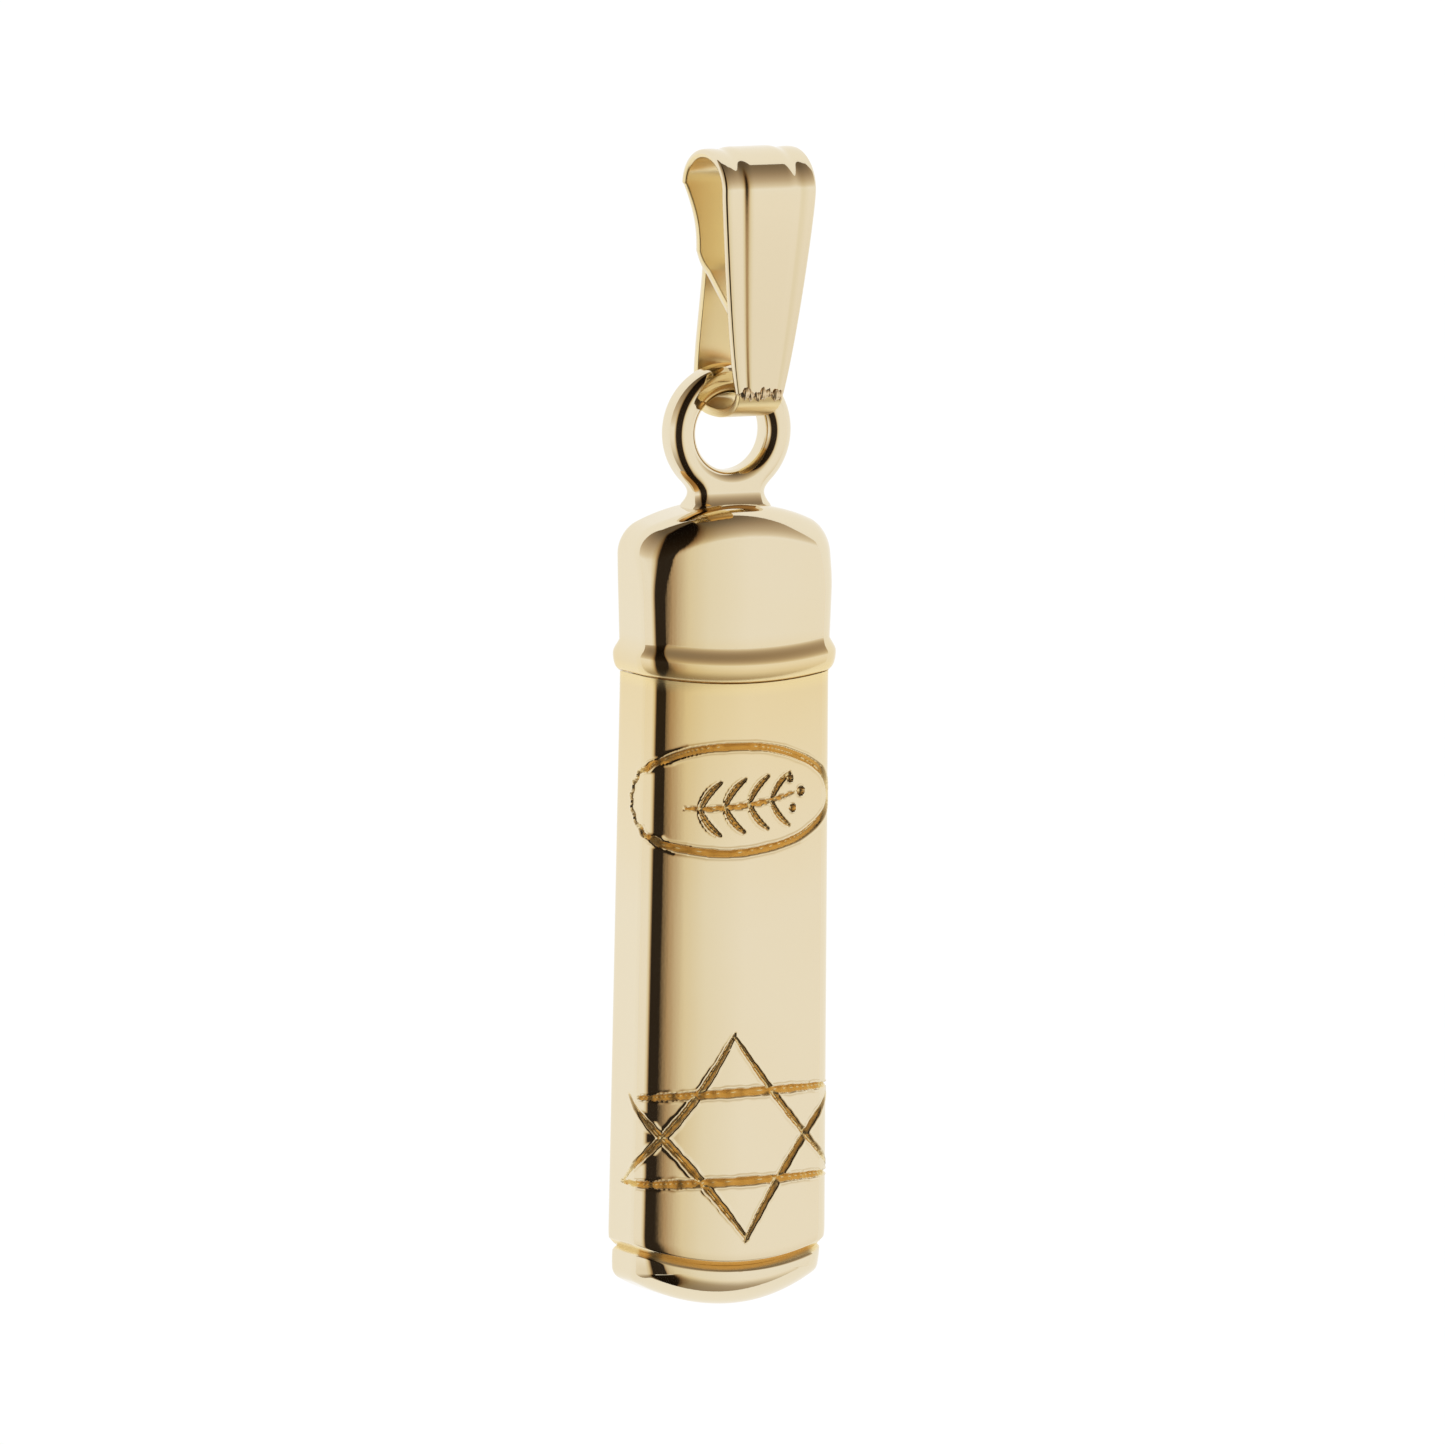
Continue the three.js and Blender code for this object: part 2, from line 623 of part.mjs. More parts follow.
const pieces = [
  ["bail_strip", bailStrip(), polishedGold],
  ["bail_strap", bailStrap(), polishedGold],
  ["bail_front_solder", solderBar(leafFrontY, LEAF_FOOT_Z, -1, 0.1, 0.06, 0.55), solderGold],
  ["bail_back_solder", solderBar(backSolderY, backSolderZ, 1, 0.08, 0.11, 0.5), solderGold],
  ["suspension_eye", suspensionEye(), polishedGold],
  ["cap_shell", capShell(), polishedGold],
  ["cap_rim_bead", capRimBead(), polishedGold],
  ["case_front_shell", caseFrontShell(), polishedGold],
  ["case_back_shell", caseBackShell(), polishedGold],
  ["inner_collar", innerCollar(), plainGold],
  ["base_cap", baseCap(), polishedGold],
  ["parchment_scroll", parchmentScroll(), parchment],
];

const pendant = new THREE.Group();
pendant.position.y = -CHAIN_SEAT_Y;
for (const [name, geometry, finish] of pieces) {
  const mesh = new THREE.Mesh(geometry, new THREE.MeshStandardMaterial(finish));
  mesh.name = name;
  pendant.add(mesh);
}

export default pendant;
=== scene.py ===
"""Looks for the gold mezuzah pendant.

It has a fluted bail, a cast eye, a domed cap, and an engraved case with its scroll.
"""
import math

import bmesh
import bpy
import numpy as np
from mathutils import Matrix, Vector


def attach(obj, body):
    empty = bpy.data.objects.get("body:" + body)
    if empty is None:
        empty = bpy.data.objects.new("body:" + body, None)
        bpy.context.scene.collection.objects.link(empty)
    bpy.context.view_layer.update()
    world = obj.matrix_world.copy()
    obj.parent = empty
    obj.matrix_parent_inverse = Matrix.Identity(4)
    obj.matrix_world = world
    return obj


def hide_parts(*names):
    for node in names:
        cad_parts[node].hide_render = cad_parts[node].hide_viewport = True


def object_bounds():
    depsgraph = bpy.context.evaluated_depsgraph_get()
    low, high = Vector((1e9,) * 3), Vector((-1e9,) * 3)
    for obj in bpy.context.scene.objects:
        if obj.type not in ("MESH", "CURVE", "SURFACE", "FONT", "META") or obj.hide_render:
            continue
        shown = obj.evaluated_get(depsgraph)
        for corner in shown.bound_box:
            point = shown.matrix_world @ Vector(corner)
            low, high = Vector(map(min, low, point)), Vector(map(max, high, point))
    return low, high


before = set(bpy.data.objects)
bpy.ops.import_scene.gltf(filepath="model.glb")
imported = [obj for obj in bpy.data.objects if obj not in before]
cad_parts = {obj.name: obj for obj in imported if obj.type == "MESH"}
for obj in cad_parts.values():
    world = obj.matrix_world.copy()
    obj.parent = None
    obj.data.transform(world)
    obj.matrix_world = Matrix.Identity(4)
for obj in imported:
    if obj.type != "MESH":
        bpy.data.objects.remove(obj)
cad_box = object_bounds()

# ---------------------------------------------------------------- driving dimensions, in millimetres

# Shapes are worked out round the case's middle plane.
# The row frame starts at the chain seat, in front of that plane.
MM = 0.001
CHAIN_SEAT_Y = -0.97

SHEET = 0.2  # thickness of the bail's sheet
ROLL_HALF_DEPTH = 1.02  # to the middle of the sheet, round the chain
ROLL_HALF_HEIGHT = 0.8
LEAF_TOP_HALF_WIDTH = 1.17
LEAF_FOOT_HALF_WIDTH = 0.58
LEAF_FOOT_Y = -1.62
LEAF_FOOT_Z = -5.32
BACK_LEAF_Y = 0.0
BACK_LEAF_HALF_WIDTH = 0.8
STRAP_HALF_WIDTH = 0.5
STRAP_BACK_Y = 0.63  # 0.05 further back than in the CAD, so that the swung eye clears the strap
STRAP_TOP_Z = -2.15
SOLDER_GAP = 0.03  # between two faces that are soldered together

EYE_Z = -6.36  # centre of the eye's hole
EYE_HOLE_RADIUS = 0.88
EYE_OUTER_RADIUS = 1.55
EYE_HALF_DEPTH = 0.4
EYE_EDGE = 0.29  # radius of the eye's rounded edges
NECK_Z = -7.76
NECK_HALF_WIDTH = 0.89
EYE_FOOT_HALF_WIDTH = 1.12
EYE_SUNK = 0.2  # how deep the eye's foot is set in the cap's wall
EYE_SPREAD = 0.35  # how much deeper the eye is at its foot than at its ring, as a share
EYE_FLARE_HEIGHT = 0.32  # over which the neck spreads to that depth
EYE_HAND_OVER = math.radians(40)  # how far below level the ring runs before its fillet into the neck
RING_STATIONS = 90

FRONT_Y = -1.28
BACK_Y = 0.82
CROWN_RADIUS = 8.0  # of the front, seen from above
FRONT_ROUND = 0.36
BACK_ROUND = 0.33
FRONT_END_ROUND = 0.75
BACK_END_ROUND = 0.36
WALL = 0.25

CAP_TOP_Z = -7.98
CAP_HALF_WIDTH = 2.45
WAIST_HALF_WIDTH = 2.34
FOOT_HALF_WIDTH = 2.46
BASE_HALF_WIDTH = 2.36
CASE_FOOT_Z = -26.29
TOP_ARC_RADIUS = 5.0
EYE_FOOT_ARC_Z = CAP_TOP_Z - TOP_ARC_RADIUS - EYE_SUNK  # where the arc of the eye's foot has its centre
SHOULDER_RADIUS = 0.8
BOTTOM_ARC_RADIUS = 4.6
FOOT_CORNER_RADIUS = 0.3

RIM_Z = -11.77  # parting line of cap and case at the sides
RIM_DIP = 0.2  # how much lower that line runs at mid-width
BASE_Z = -24.94  # parting line of case and base at the sides
BASE_DIP = 0.4
PARTING_HALF_WIDTH = 2.37

RIM_SHADE_REACH = 0.3  # how far below the rim painted shade reaches, with rougher gold
BEAD_HEIGHT = 0.8
BEAD_PROUD = 0.165
BEAD_PEAK = 0.48  # share of the bead's height at which it stands proudest
GROOVE_DEPTH = 0.13
GROOVE_LIP = 0.12
GROOVE_SHOULDER = 0.36

COLLAR_WALL = 0.15
COLLAR_GAP = 0.045
COLLAR_TOP_Z = -10.1
COLLAR_FOOT_Z = -13.3
SCROLL_TOP_Z = -11.3
SCROLL_FOOT_Z = -25.2
SCROLL_HALF_WIDTH = 1.35
SCROLL_HALF_DEPTH = 0.5
SCROLL_TURNS = 3
SCROLL_STEP = 0.13  # from one turn of the roll to the next
PARCHMENT = 0.05  # thickness

# ---------------------------------------------------------------- meshes from grids of points


def to_frame(points):
    """Points in millimetres round the case's middle plane as points in the row frame, in metres."""
    shifted = np.asarray(points, float) - (0, CHAIN_SEAT_Y, 0)
    return shifted.reshape(-1, 3) * MM


def strip_faces(first, second, closed):
    """Quads between two rows of vertex numbers."""
    count = len(first)
    stops = range(count if closed else count - 1)
    return [(first[i], first[(i + 1) % count], second[(i + 1) % count], second[i]) for i in stops]


def grid_faces(numbers, closed_across=False, closed_along=False):
    """Quads over a grid of vertex numbers, whose rows may close round on themselves either way."""
    rows = len(numbers)
    faces = []
    for i in range(rows if closed_along else rows - 1):
        faces += strip_faces(numbers[i], numbers[(i + 1) % rows], closed_across)
    return faces


def number_grid(start, rows, columns):
    return (start + np.arange(rows * columns)).reshape(rows, columns)


def piece_from(name, points, faces, body, nodes, material, merge=1e-8, cut=None):
    """A closed smooth mesh as a piece that rides on a body and stands for CAD nodes.

    Cut says from 0 to 1 how much painted shade each point gets, with more roughness: in engraved cuts, the
    base groove, under the rim bead and on the bail's inner faces and strap. The gold material reads it.
    """
    mesh = bpy.data.meshes.new(name)
    mesh.from_pydata([tuple(p) for p in to_frame(points)], [], [tuple(int(i) for i in f) for f in faces])
    if cut is not None:
        mesh.attributes.new("cut", "FLOAT", "POINT").data.foreach_set("value", np.ravel(cut))
    work = bmesh.new()
    work.from_mesh(mesh)
    bmesh.ops.remove_doubles(work, verts=work.verts, dist=merge)
    bmesh.ops.dissolve_degenerate(work, dist=merge, edges=work.edges)
    bmesh.ops.recalc_face_normals(work, faces=work.faces)
    work.to_mesh(mesh)
    work.free()
    mesh.shade_smooth()
    piece = bpy.data.objects.new(name, mesh)
    bpy.context.scene.collection.objects.link(piece)
    mesh.materials.append(material)
    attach(piece, body)
    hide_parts(*nodes)
    return piece


def sharpen(piece, angle):
    """Marks edges that turn by more than an angle in degrees as sharp, so that reflections break there."""
    piece.data.set_sharp_from_angle(angle=math.radians(angle))


# ---------------------------------------------------------------- the case's section and ends


def smooth_step(value):
    share = np.clip(value, 0, 1)
    return share * share * (3 - 2 * share)


def crown_y(x, inset=0.0):
    """Where the crowned front lies at x."""
    return FRONT_Y + CROWN_RADIUS - np.sqrt((CROWN_RADIUS - inset) ** 2 - np.square(x))


def edge_drop(distance, radius):
    """How far a quarter-round edge has fallen at a distance inwards from the outline."""
    reach = radius - np.clip(distance, 0, radius)
    return radius - np.sqrt(np.maximum(radius * radius - reach * reach, 0))


def parting_z(x, side_z, dip):
    """Height of a parting line, which dips in the middle."""
    return side_z - dip * (1 - np.square(np.asarray(x) / PARTING_HALF_WIDTH))


def half_section(half_width, inset):
    """Close points down one half of the plan section, from mid-front to mid-back."""
    side = half_width - inset
    front_radius = max(FRONT_ROUND - inset, 0.02)
    back_radius = max(BACK_ROUND - inset, 0.02)
    quarter = np.linspace(0, math.pi / 2, 80)
    front_x = np.linspace(0, side - front_radius, 400)[:-1]
    turn_x = side - front_radius + front_radius * np.sin(quarter)
    turn_y = crown_y(turn_x, inset) + front_radius * (1 - np.cos(quarter))
    side_y = np.linspace(turn_y[-1], BACK_Y - inset - back_radius, 80)[1:-1]
    back_x = side - back_radius + back_radius * np.sin(quarter[::-1])
    back_y = BACK_Y - inset - back_radius * (1 - np.cos(quarter[::-1]))
    flat_x = np.linspace(side - back_radius, 0, 200)[1:]
    x = np.concatenate([front_x, turn_x, np.full_like(side_y, side), back_x, flat_x])
    flat_y = np.full_like(flat_x, BACK_Y - inset)
    y = np.concatenate([crown_y(front_x, inset), turn_y, side_y, back_y, flat_y])
    return x, y


def section_at(around, half_width, inset=0.0):
    """Points and outward normals of the plan section at places from -1 to 1 round it. Zero is mid-front."""
    x, y = half_section(half_width, inset)
    run = np.concatenate([[0], np.cumsum(np.hypot(np.diff(x), np.diff(y)))])
    place = np.abs(around) * run[-1]
    side = np.where(np.asarray(around) < 0, -1.0, 1.0)
    step = 0.02
    ahead = np.minimum(place + step, run[-1])
    behind = np.maximum(place - step, 0)
    along_x = np.interp(ahead, run, x) - np.interp(behind, run, x)
    along_y = np.interp(ahead, run, y) - np.interp(behind, run, y)
    length = np.hypot(along_x, along_y)
    point_x = side * np.interp(place, run, x)
    point_y = np.interp(place, run, y)
    return point_x, point_y, side * along_y / length, -along_x / length


def half_girth(half_width):
    """Length of half the plan section's outline."""
    x, y = half_section(half_width, 0)
    return float(np.hypot(np.diff(x), np.diff(y)).sum())


END_EDGE = 0.7  # how far in from the outline the ends are meshed closely, for their rounded edges
END_REACH = 2.4  # how far in from the outline the mesh reaches


class EndForm:
    """A closed end of the case: an arched outline with rounded corners.

    Sign is 1 for the top and -1 for the foot.
    """

    def __init__(self, sign, tip_z, arc_radius, corner_radius, half_width, mouth_half_width, inset=0.0):
        self.sign = sign
        self.inset = inset
        self.arc_centre = tip_z - sign * arc_radius
        self.arc_radius = arc_radius - inset
        self.corner_radius = max(corner_radius - inset, 0.05)
        self.half_width = half_width - inset
        self.mouth_half_width = mouth_half_width - inset
        self.corner_x = self.half_width - self.corner_radius
        rise = math.sqrt((self.arc_radius - self.corner_radius) ** 2 - self.corner_x**2)
        self.corner_z = self.arc_centre + sign * rise
        self.corner_angle = math.atan2(rise, self.corner_x)

    def side_at(self, z, mouth_z):
        share = (z - mouth_z) / (self.corner_z - mouth_z)
        return self.mouth_half_width + (self.half_width - self.mouth_half_width) * share

    def distance(self, x, z, mouth_z):
        """How far a point lies inside the outline."""
        across = np.abs(x)
        rise = self.sign * (z - self.corner_z)
        angle = np.arctan2(rise, across - self.corner_x)
        in_corner = np.hypot(across - self.corner_x, rise) - self.corner_radius
        on_arc = np.hypot(across, z - self.arc_centre) - self.arc_radius
        beyond = np.where(angle < self.corner_angle, in_corner, on_arc)
        return -np.where(rise <= 0, across - self.side_at(z, mouth_z), beyond)

    def end_share(self, z):
        """How far a height has passed from the straight sides into the arched end."""
        return smooth_step((self.sign * (z - self.corner_z) + 0.9) / 1.6)

    def front_round(self, z):
        full = FRONT_ROUND + (FRONT_END_ROUND - FRONT_ROUND) * self.end_share(z)
        return np.maximum(full - self.inset, 0.03)

    def back_round(self, z):
        full = BACK_ROUND + (BACK_END_ROUND - BACK_ROUND) * self.end_share(z)
        return np.maximum(full - self.inset, 0.03)


def end_surface(form, line, side_stops, lip):
    """A grid over an open end form.

    Columns run from one side over the tip to the other, and rows from back to front. The line gives the
    mouth's height at x, and the lip how far the surface is drawn in near that line.
    """
    mouth_z = float(line(form.mouth_half_width))
    corner_turn = np.linspace(0, form.corner_angle, 26)
    arc_turn = np.linspace(form.corner_angle, math.pi - form.corner_angle, 71)[1:-1]
    radius = form.corner_radius
    edge = [(form.corner_x + radius * math.cos(a), radius * math.sin(a)) for a in corner_turn]
    tip = [(form.arc_radius * math.cos(a), form.arc_radius * math.sin(a)) for a in arc_turn]
    right = [(x, form.corner_z + form.sign * rise) for x, rise in edge]
    middle = [(x, form.arc_centre + form.sign * rise) for x, rise in tip]
    arch = right + middle + [(-x, z) for x, z in reversed(right)]

    quarter = np.linspace(0, math.pi / 2, 22)
    rounding = 1 - np.cos(quarter)
    near = rounding / rounding[-1] * END_EDGE
    inwards = np.concatenate([near, np.linspace(END_EDGE, END_REACH, 22)[1:]])
    shares = np.linspace(0, 1, 15)[1:-1]

    columns = []
    for side in (1, -1):
        stops = side_stops if side > 0 else side_stops[::-1]
        half = []
        for stop in stops:
            edge_z = mouth_z + (form.corner_z - mouth_z) * stop
            edge_x = float(form.side_at(edge_z, mouth_z))
            x = side * edge_x * (1 - inwards / inwards[-1])
            half.append((x, line(x) + (form.corner_z - line(x)) * stop))
        columns.append(half)
    over = []
    for x, z in arch[1:-1]:
        length = math.hypot(x, z - form.corner_z)
        far = np.linspace(END_EDGE, length, len(inwards) - len(near) + 1)[1:]
        share = np.concatenate([near, far]) / length
        over.append((x * (1 - share), z + (form.corner_z - z) * share))
    grid = []
    for x, z in columns[0] + over + columns[1]:
        inside = form.distance(x, z, mouth_z)
        front = crown_y(x, form.inset) + edge_drop(inside, form.front_round(z))
        back = BACK_Y - form.inset - edge_drop(inside, form.back_round(z))
        wall_y = back[0] + (front[0] - back[0]) * shares
        wall_x, wall_z = np.full_like(wall_y, x[0]), np.full_like(wall_y, z[0])
        all_x = np.concatenate([x[::-1], wall_x, x])
        all_y = np.concatenate([back[::-1], wall_y, front])
        all_z = np.concatenate([z[::-1], wall_z, z])
        drawn_in = lip(np.abs(all_z - line(all_x)))
        all_x = all_x * (1 - drawn_in / form.half_width)
        all_y = all_y * (1 - drawn_in / abs(FRONT_Y))
        grid.append(np.stack([all_x, all_y, all_z], axis=-1))
    return np.array(grid)


def end_shell(name, outer, inner, line, side_stops, lip, body, nodes, material):
    """A closed end with a wall: outer and inner surface, joined round the mouth."""
    outside = end_surface(outer, line, side_stops, lip)
    inside = end_surface(inner, line, side_stops, lambda gap: np.zeros_like(gap))
    rows, columns = outside.shape[:2]
    first = number_grid(0, rows, columns)
    second = number_grid(rows * columns, rows, columns)
    faces = grid_faces(first) + grid_faces(second)
    faces += strip_faces(first[0], second[0], False)
    faces += strip_faces(first[-1], second[-1], False)
    points = np.concatenate([outside.reshape(-1, 3), inside.reshape(-1, 3)])
    marks = np.zeros(len(points))
    flat = outside.reshape(-1, 3)
    # Painted shade along the drawn-in lip by the groove, with rougher gold; none on the cap, whose lip is
    # flat.
    marks[: len(flat)] = np.clip(lip(np.abs(flat[:, 2] - line(flat[:, 0]))) / 0.05 - 0.4, 0, 1)
    piece = piece_from(name, points, faces, body, nodes, material, merge=2e-7, cut=marks)
    sharpen(piece, 50)
    return piece


# ---------------------------------------------------------------- engraving on the case's front

# Places on the front are (s, z): s is the length round the section from mid-front, positive to the right.
CUT_DEPTH = 0.115  # of a stroke with the half width below
CUT_HALF_WIDTH = 0.085
BURR = 0.016  # height of the lip that the graver raises
STAR_Z = -22.4
OVAL_S = -0.36
OVAL_Z = -14.64
OVAL_HALF_LENGTH = 2.65
OVAL_HALF_HEIGHT = 1.22
OVAL_CUT = 0.095

# Each stroke: start (s, z), end (s, z), half width of the cut, and how far it bows to one side.
STAR_STROKES = [
    ((-0.23, 2.38), (-3.1, -1.02), 0.085, -0.24),
    ((-0.23, 2.34), (2.6, -0.94), 0.075, 0.12),
    ((-3.12, -1.0), (2.62, -0.93), 0.1, 0.03),
    ((-2.45, 0.98), (2.62, 1.08), 0.1, -0.02),
    ((-2.85, 1.02), (0.14, -2.33), 0.085, -0.08),
    ((2.62, 1.12), (0.1, -2.36), 0.09, 0.15),
]
STEM = ((-1.5, -0.16), (1.25, 0.1), 0.055, 0.12)
LEAF_ROOTS = (-1.15, -0.55, 0.05, 0.62)
LEAF_REACH = (0.52, 0.62)
BERRIES = ((1.42, 0.12, 0.105), (1.12, 0.42, 0.085), (1.2, -0.26, 0.085))


def stroke_relief(s, z, stroke):
    """Depth of a tapered V cut and of the burr it raises at its lips."""
    (from_s, from_z), (to_s, to_z), half_width, bow = stroke
    length = math.hypot(to_s - from_s, to_z - from_z)
    along_s, along_z = (to_s - from_s) / length, (to_z - from_z) / length
    share = ((s - from_s) * along_s + (z - from_z) * along_z) / length
    aside = (s - from_s) * along_z - (z - from_z) * along_s
    aside = aside - bow * 4 * share * (1 - share)
    inside = (share > -0.01) & (share < 1.01)
    taper = 0.35 + 0.65 * np.sqrt(np.clip(np.sin(math.pi * np.clip(share, 0, 1)), 0, 1))
    chatter = 1 + 0.07 * np.sin(41 * share + 9 * from_s) + 0.05 * np.sin(97 * share)
    reach = half_width * taper * chatter
    cut = np.clip(1 - np.abs(aside) / reach, 0, 1) * CUT_DEPTH * reach / CUT_HALF_WIDTH
    burr = BURR * np.exp(-np.square((np.abs(aside) - 1.25 * reach) / (0.35 * reach)))
    return np.where(inside, cut, 0), np.where(inside, burr, 0)


def oval_relief(s, z):
    """Depth and burr of the oval frame, cut in short overlapping strokes."""
    across, up = (s - OVAL_S) / OVAL_HALF_LENGTH, (z - OVAL_Z) / OVAL_HALF_HEIGHT
    ring = np.hypot(across, up)
    slope = np.hypot(across / OVAL_HALF_LENGTH, up / OVAL_HALF_HEIGHT) / np.maximum(ring, 1e-6)
    aside = (ring - 1) / np.maximum(slope, 1e-6)
    turn = np.arctan2(up, across)
    flats = np.abs(np.sin(11 * turn + 0.6)) ** 0.6
    near_left_tip = smooth_step((-across - 0.45) / 0.4)
    reach = OVAL_CUT * (1 - 0.3 * flats * (0.35 + near_left_tip))
    aside = aside + 0.008 * np.sin(9 * turn) + 0.03 * near_left_tip * np.sin(26 * turn)
    cut = np.clip(1 - np.abs(aside) / reach, 0, 1) * CUT_DEPTH * 1.05
    burr = BURR * np.exp(-np.square((np.abs(aside) - 1.25 * reach) / (0.4 * reach)))
    return cut, burr


def berry_relief(s, z, berry):
    """A round ball-ended cut."""
    centre_s, rise, radius = berry
    away = np.hypot(s - centre_s, z - OVAL_Z - rise)
    cut = np.sqrt(np.clip(1 - np.square(away / radius), 0, 1)) * CUT_DEPTH * 0.9
    burr = BURR * np.exp(-np.square((away - 1.15 * radius) / (0.25 * radius)))
    return cut, burr


def sprig_strokes():
    """A plain stem with a pair of leaves at each root."""
    strokes = [shifted(STEM, OVAL_Z)]
    for root in LEAF_ROOTS:
        foot = -0.1 + 0.09 * root
        for side in (1, -1):
            tip = (root + LEAF_REACH[0], foot + side * LEAF_REACH[1])
            strokes.append(shifted(((root, foot), tip, 0.07, -0.07 * side), OVAL_Z))
    return strokes


def shifted(stroke, rise):
    """The same stroke, raised."""
    (from_s, from_z), (to_s, to_z), half_width, bow = stroke
    return (from_s, from_z + rise), (to_s, to_z + rise), half_width, bow


def engraving(s, z):
    """How far the polished front is cut in (positive) or raised (negative) at each place."""
    reliefs = [stroke_relief(s, z, shifted(stroke, STAR_Z)) for stroke in STAR_STROKES]
    reliefs += [stroke_relief(s, z, stroke) for stroke in sprig_strokes()]
    reliefs += [berry_relief(s, z, berry) for berry in BERRIES]
    reliefs.append(oval_relief(s, z))
    cut = np.max([relief[0] for relief in reliefs], axis=0)
    burr = np.max([relief[1] for relief in reliefs], axis=0)
    return np.where(cut > 0.004, cut, -burr)


# ---------------------------------------------------------------- pieces of the cap and case


def groove_lip(gap):
    """How far a surface is drawn in at a gap from the filed groove: a steep lip with a soft shoulder."""
    steep = np.clip(1 - gap / GROOVE_LIP, 0, 1) * (GROOVE_DEPTH - 0.03)
    soft = np.square(np.clip(1 - gap / GROOVE_SHOULDER, 0, 1)) * 0.03
    return steep + soft


def case_shell(material):
    """The hollow case with its engraved front: both struck halves, soldered and polished as one skin."""
    girth = half_girth(WAIST_HALF_WIDTH)
    fine = np.arange(-3.36, 3.361, 0.028) / girth
    coarse = np.linspace(fine[-1], 1, 42)[1:]
    around = np.concatenate([-coarse[:-1][::-1], fine, coarse])
    top, foot = RIM_Z - RIM_DIP - SOLDER_GAP, BASE_Z - BASE_DIP
    heights = np.concatenate(
        [
            foot + np.linspace(0, GROOVE_LIP, 8),
            np.arange(foot + 0.14, foot + 0.42, 0.03),
            np.arange(foot + 0.44, -19.9, 0.028),
            np.arange(-19.85, -16.4, 0.115),
            np.arange(-16.35, -13.2, 0.028),
            np.arange(-13.15, top - 0.4, 0.09),
            np.linspace(top - 0.36, top, 13),
        ]
    )
    share = (heights - foot) / (top - foot)
    grid = np.empty((len(share), len(around), 3))
    shade_marks = np.zeros(grid.shape[:2])
    for i, up in enumerate(share):
        half_width = FOOT_HALF_WIDTH + (WAIST_HALF_WIDTH - FOOT_HALF_WIDTH) * up
        x, y, normal_x, normal_y = section_at(around, half_width)
        low = parting_z(x, BASE_Z, BASE_DIP)
        high = parting_z(x, RIM_Z - SOLDER_GAP, RIM_DIP)
        z = low + (high - low) * up
        graved, lip = engraving(around * girth, z), groove_lip(z - low)
        cut = graved + lip
        # Painted shade in the engraved cuts and the base groove, with rougher gold.
        shade_marks[i] = np.clip(graved / 0.02, 0, 1) + np.clip(lip / 0.05 - 0.4, 0, 1)
        # Painted shade in a band below the rim bead, with rougher gold.
        shade_marks[i] += np.clip(1 - (high - z) / RIM_SHADE_REACH, 0, 1)
        grid[i] = np.stack([x - normal_x * cut, y - normal_y * cut, z], axis=-1)
    inner = []
    for up in (0, 1):
        half_width = (FOOT_HALF_WIDTH, WAIST_HALF_WIDTH)[up]
        x, y, _, _ = section_at(around, half_width, WALL)
        z = parting_z(x, *((BASE_Z, BASE_DIP), (RIM_Z - SOLDER_GAP, RIM_DIP))[up])
        inner.append(np.stack([x, y, z], axis=-1))
    rows, columns = grid.shape[:2]
    first = number_grid(0, rows, columns)
    second = number_grid(rows * columns, 2, columns)
    faces = grid_faces(first, closed_across=True) + grid_faces(second, closed_across=True)
    faces += strip_faces(first[0], second[0], True) + strip_faces(first[-1], second[-1], True)
    points = np.concatenate([grid.reshape(-1, 3), np.array(inner).reshape(-1, 3)])
    marks = np.concatenate([np.clip(shade_marks, 0, 1).ravel(), np.zeros(2 * columns)])
    nodes = ("case_front_shell", "case_back_shell")
    piece = piece_from("case_shell", points, faces, "case", nodes, material, cut=marks)
    sharpen(piece, 62)
    return piece


def cap_shell(material):
    """The domed cap, struck from sheet."""
    shape = (1, CAP_TOP_Z, TOP_ARC_RADIUS, SHOULDER_RADIUS, CAP_HALF_WIDTH, WAIST_HALF_WIDTH)

    def line(x):
        return parting_z(x, RIM_Z, RIM_DIP)

    stops = np.linspace(0, 1, 30)
    return end_shell(
        "cap_dome", EndForm(*shape), EndForm(*shape, inset=WALL), line, stops,
        lambda gap: np.zeros_like(gap), "cap", ("cap_shell",), material,
    )  # fmt: skip


def base_shell(material):
    """The base, which closes the foot of the case."""
    shape = (-1, CASE_FOOT_Z, BOTTOM_ARC_RADIUS, FOOT_CORNER_RADIUS, BASE_HALF_WIDTH, BASE_HALF_WIDTH + 0.01)

    def line(x):
        return parting_z(x, BASE_Z - 0.004, BASE_DIP)

    stops = np.concatenate([np.linspace(0, 0.3, 14), np.linspace(0.3, 1, 18)[1:]])
    return end_shell(
        "base_dish", EndForm(*shape), EndForm(*shape, inset=WALL), line, stops,
        groove_lip, "case", ("base_cap",), material,
    )  # fmt: skip


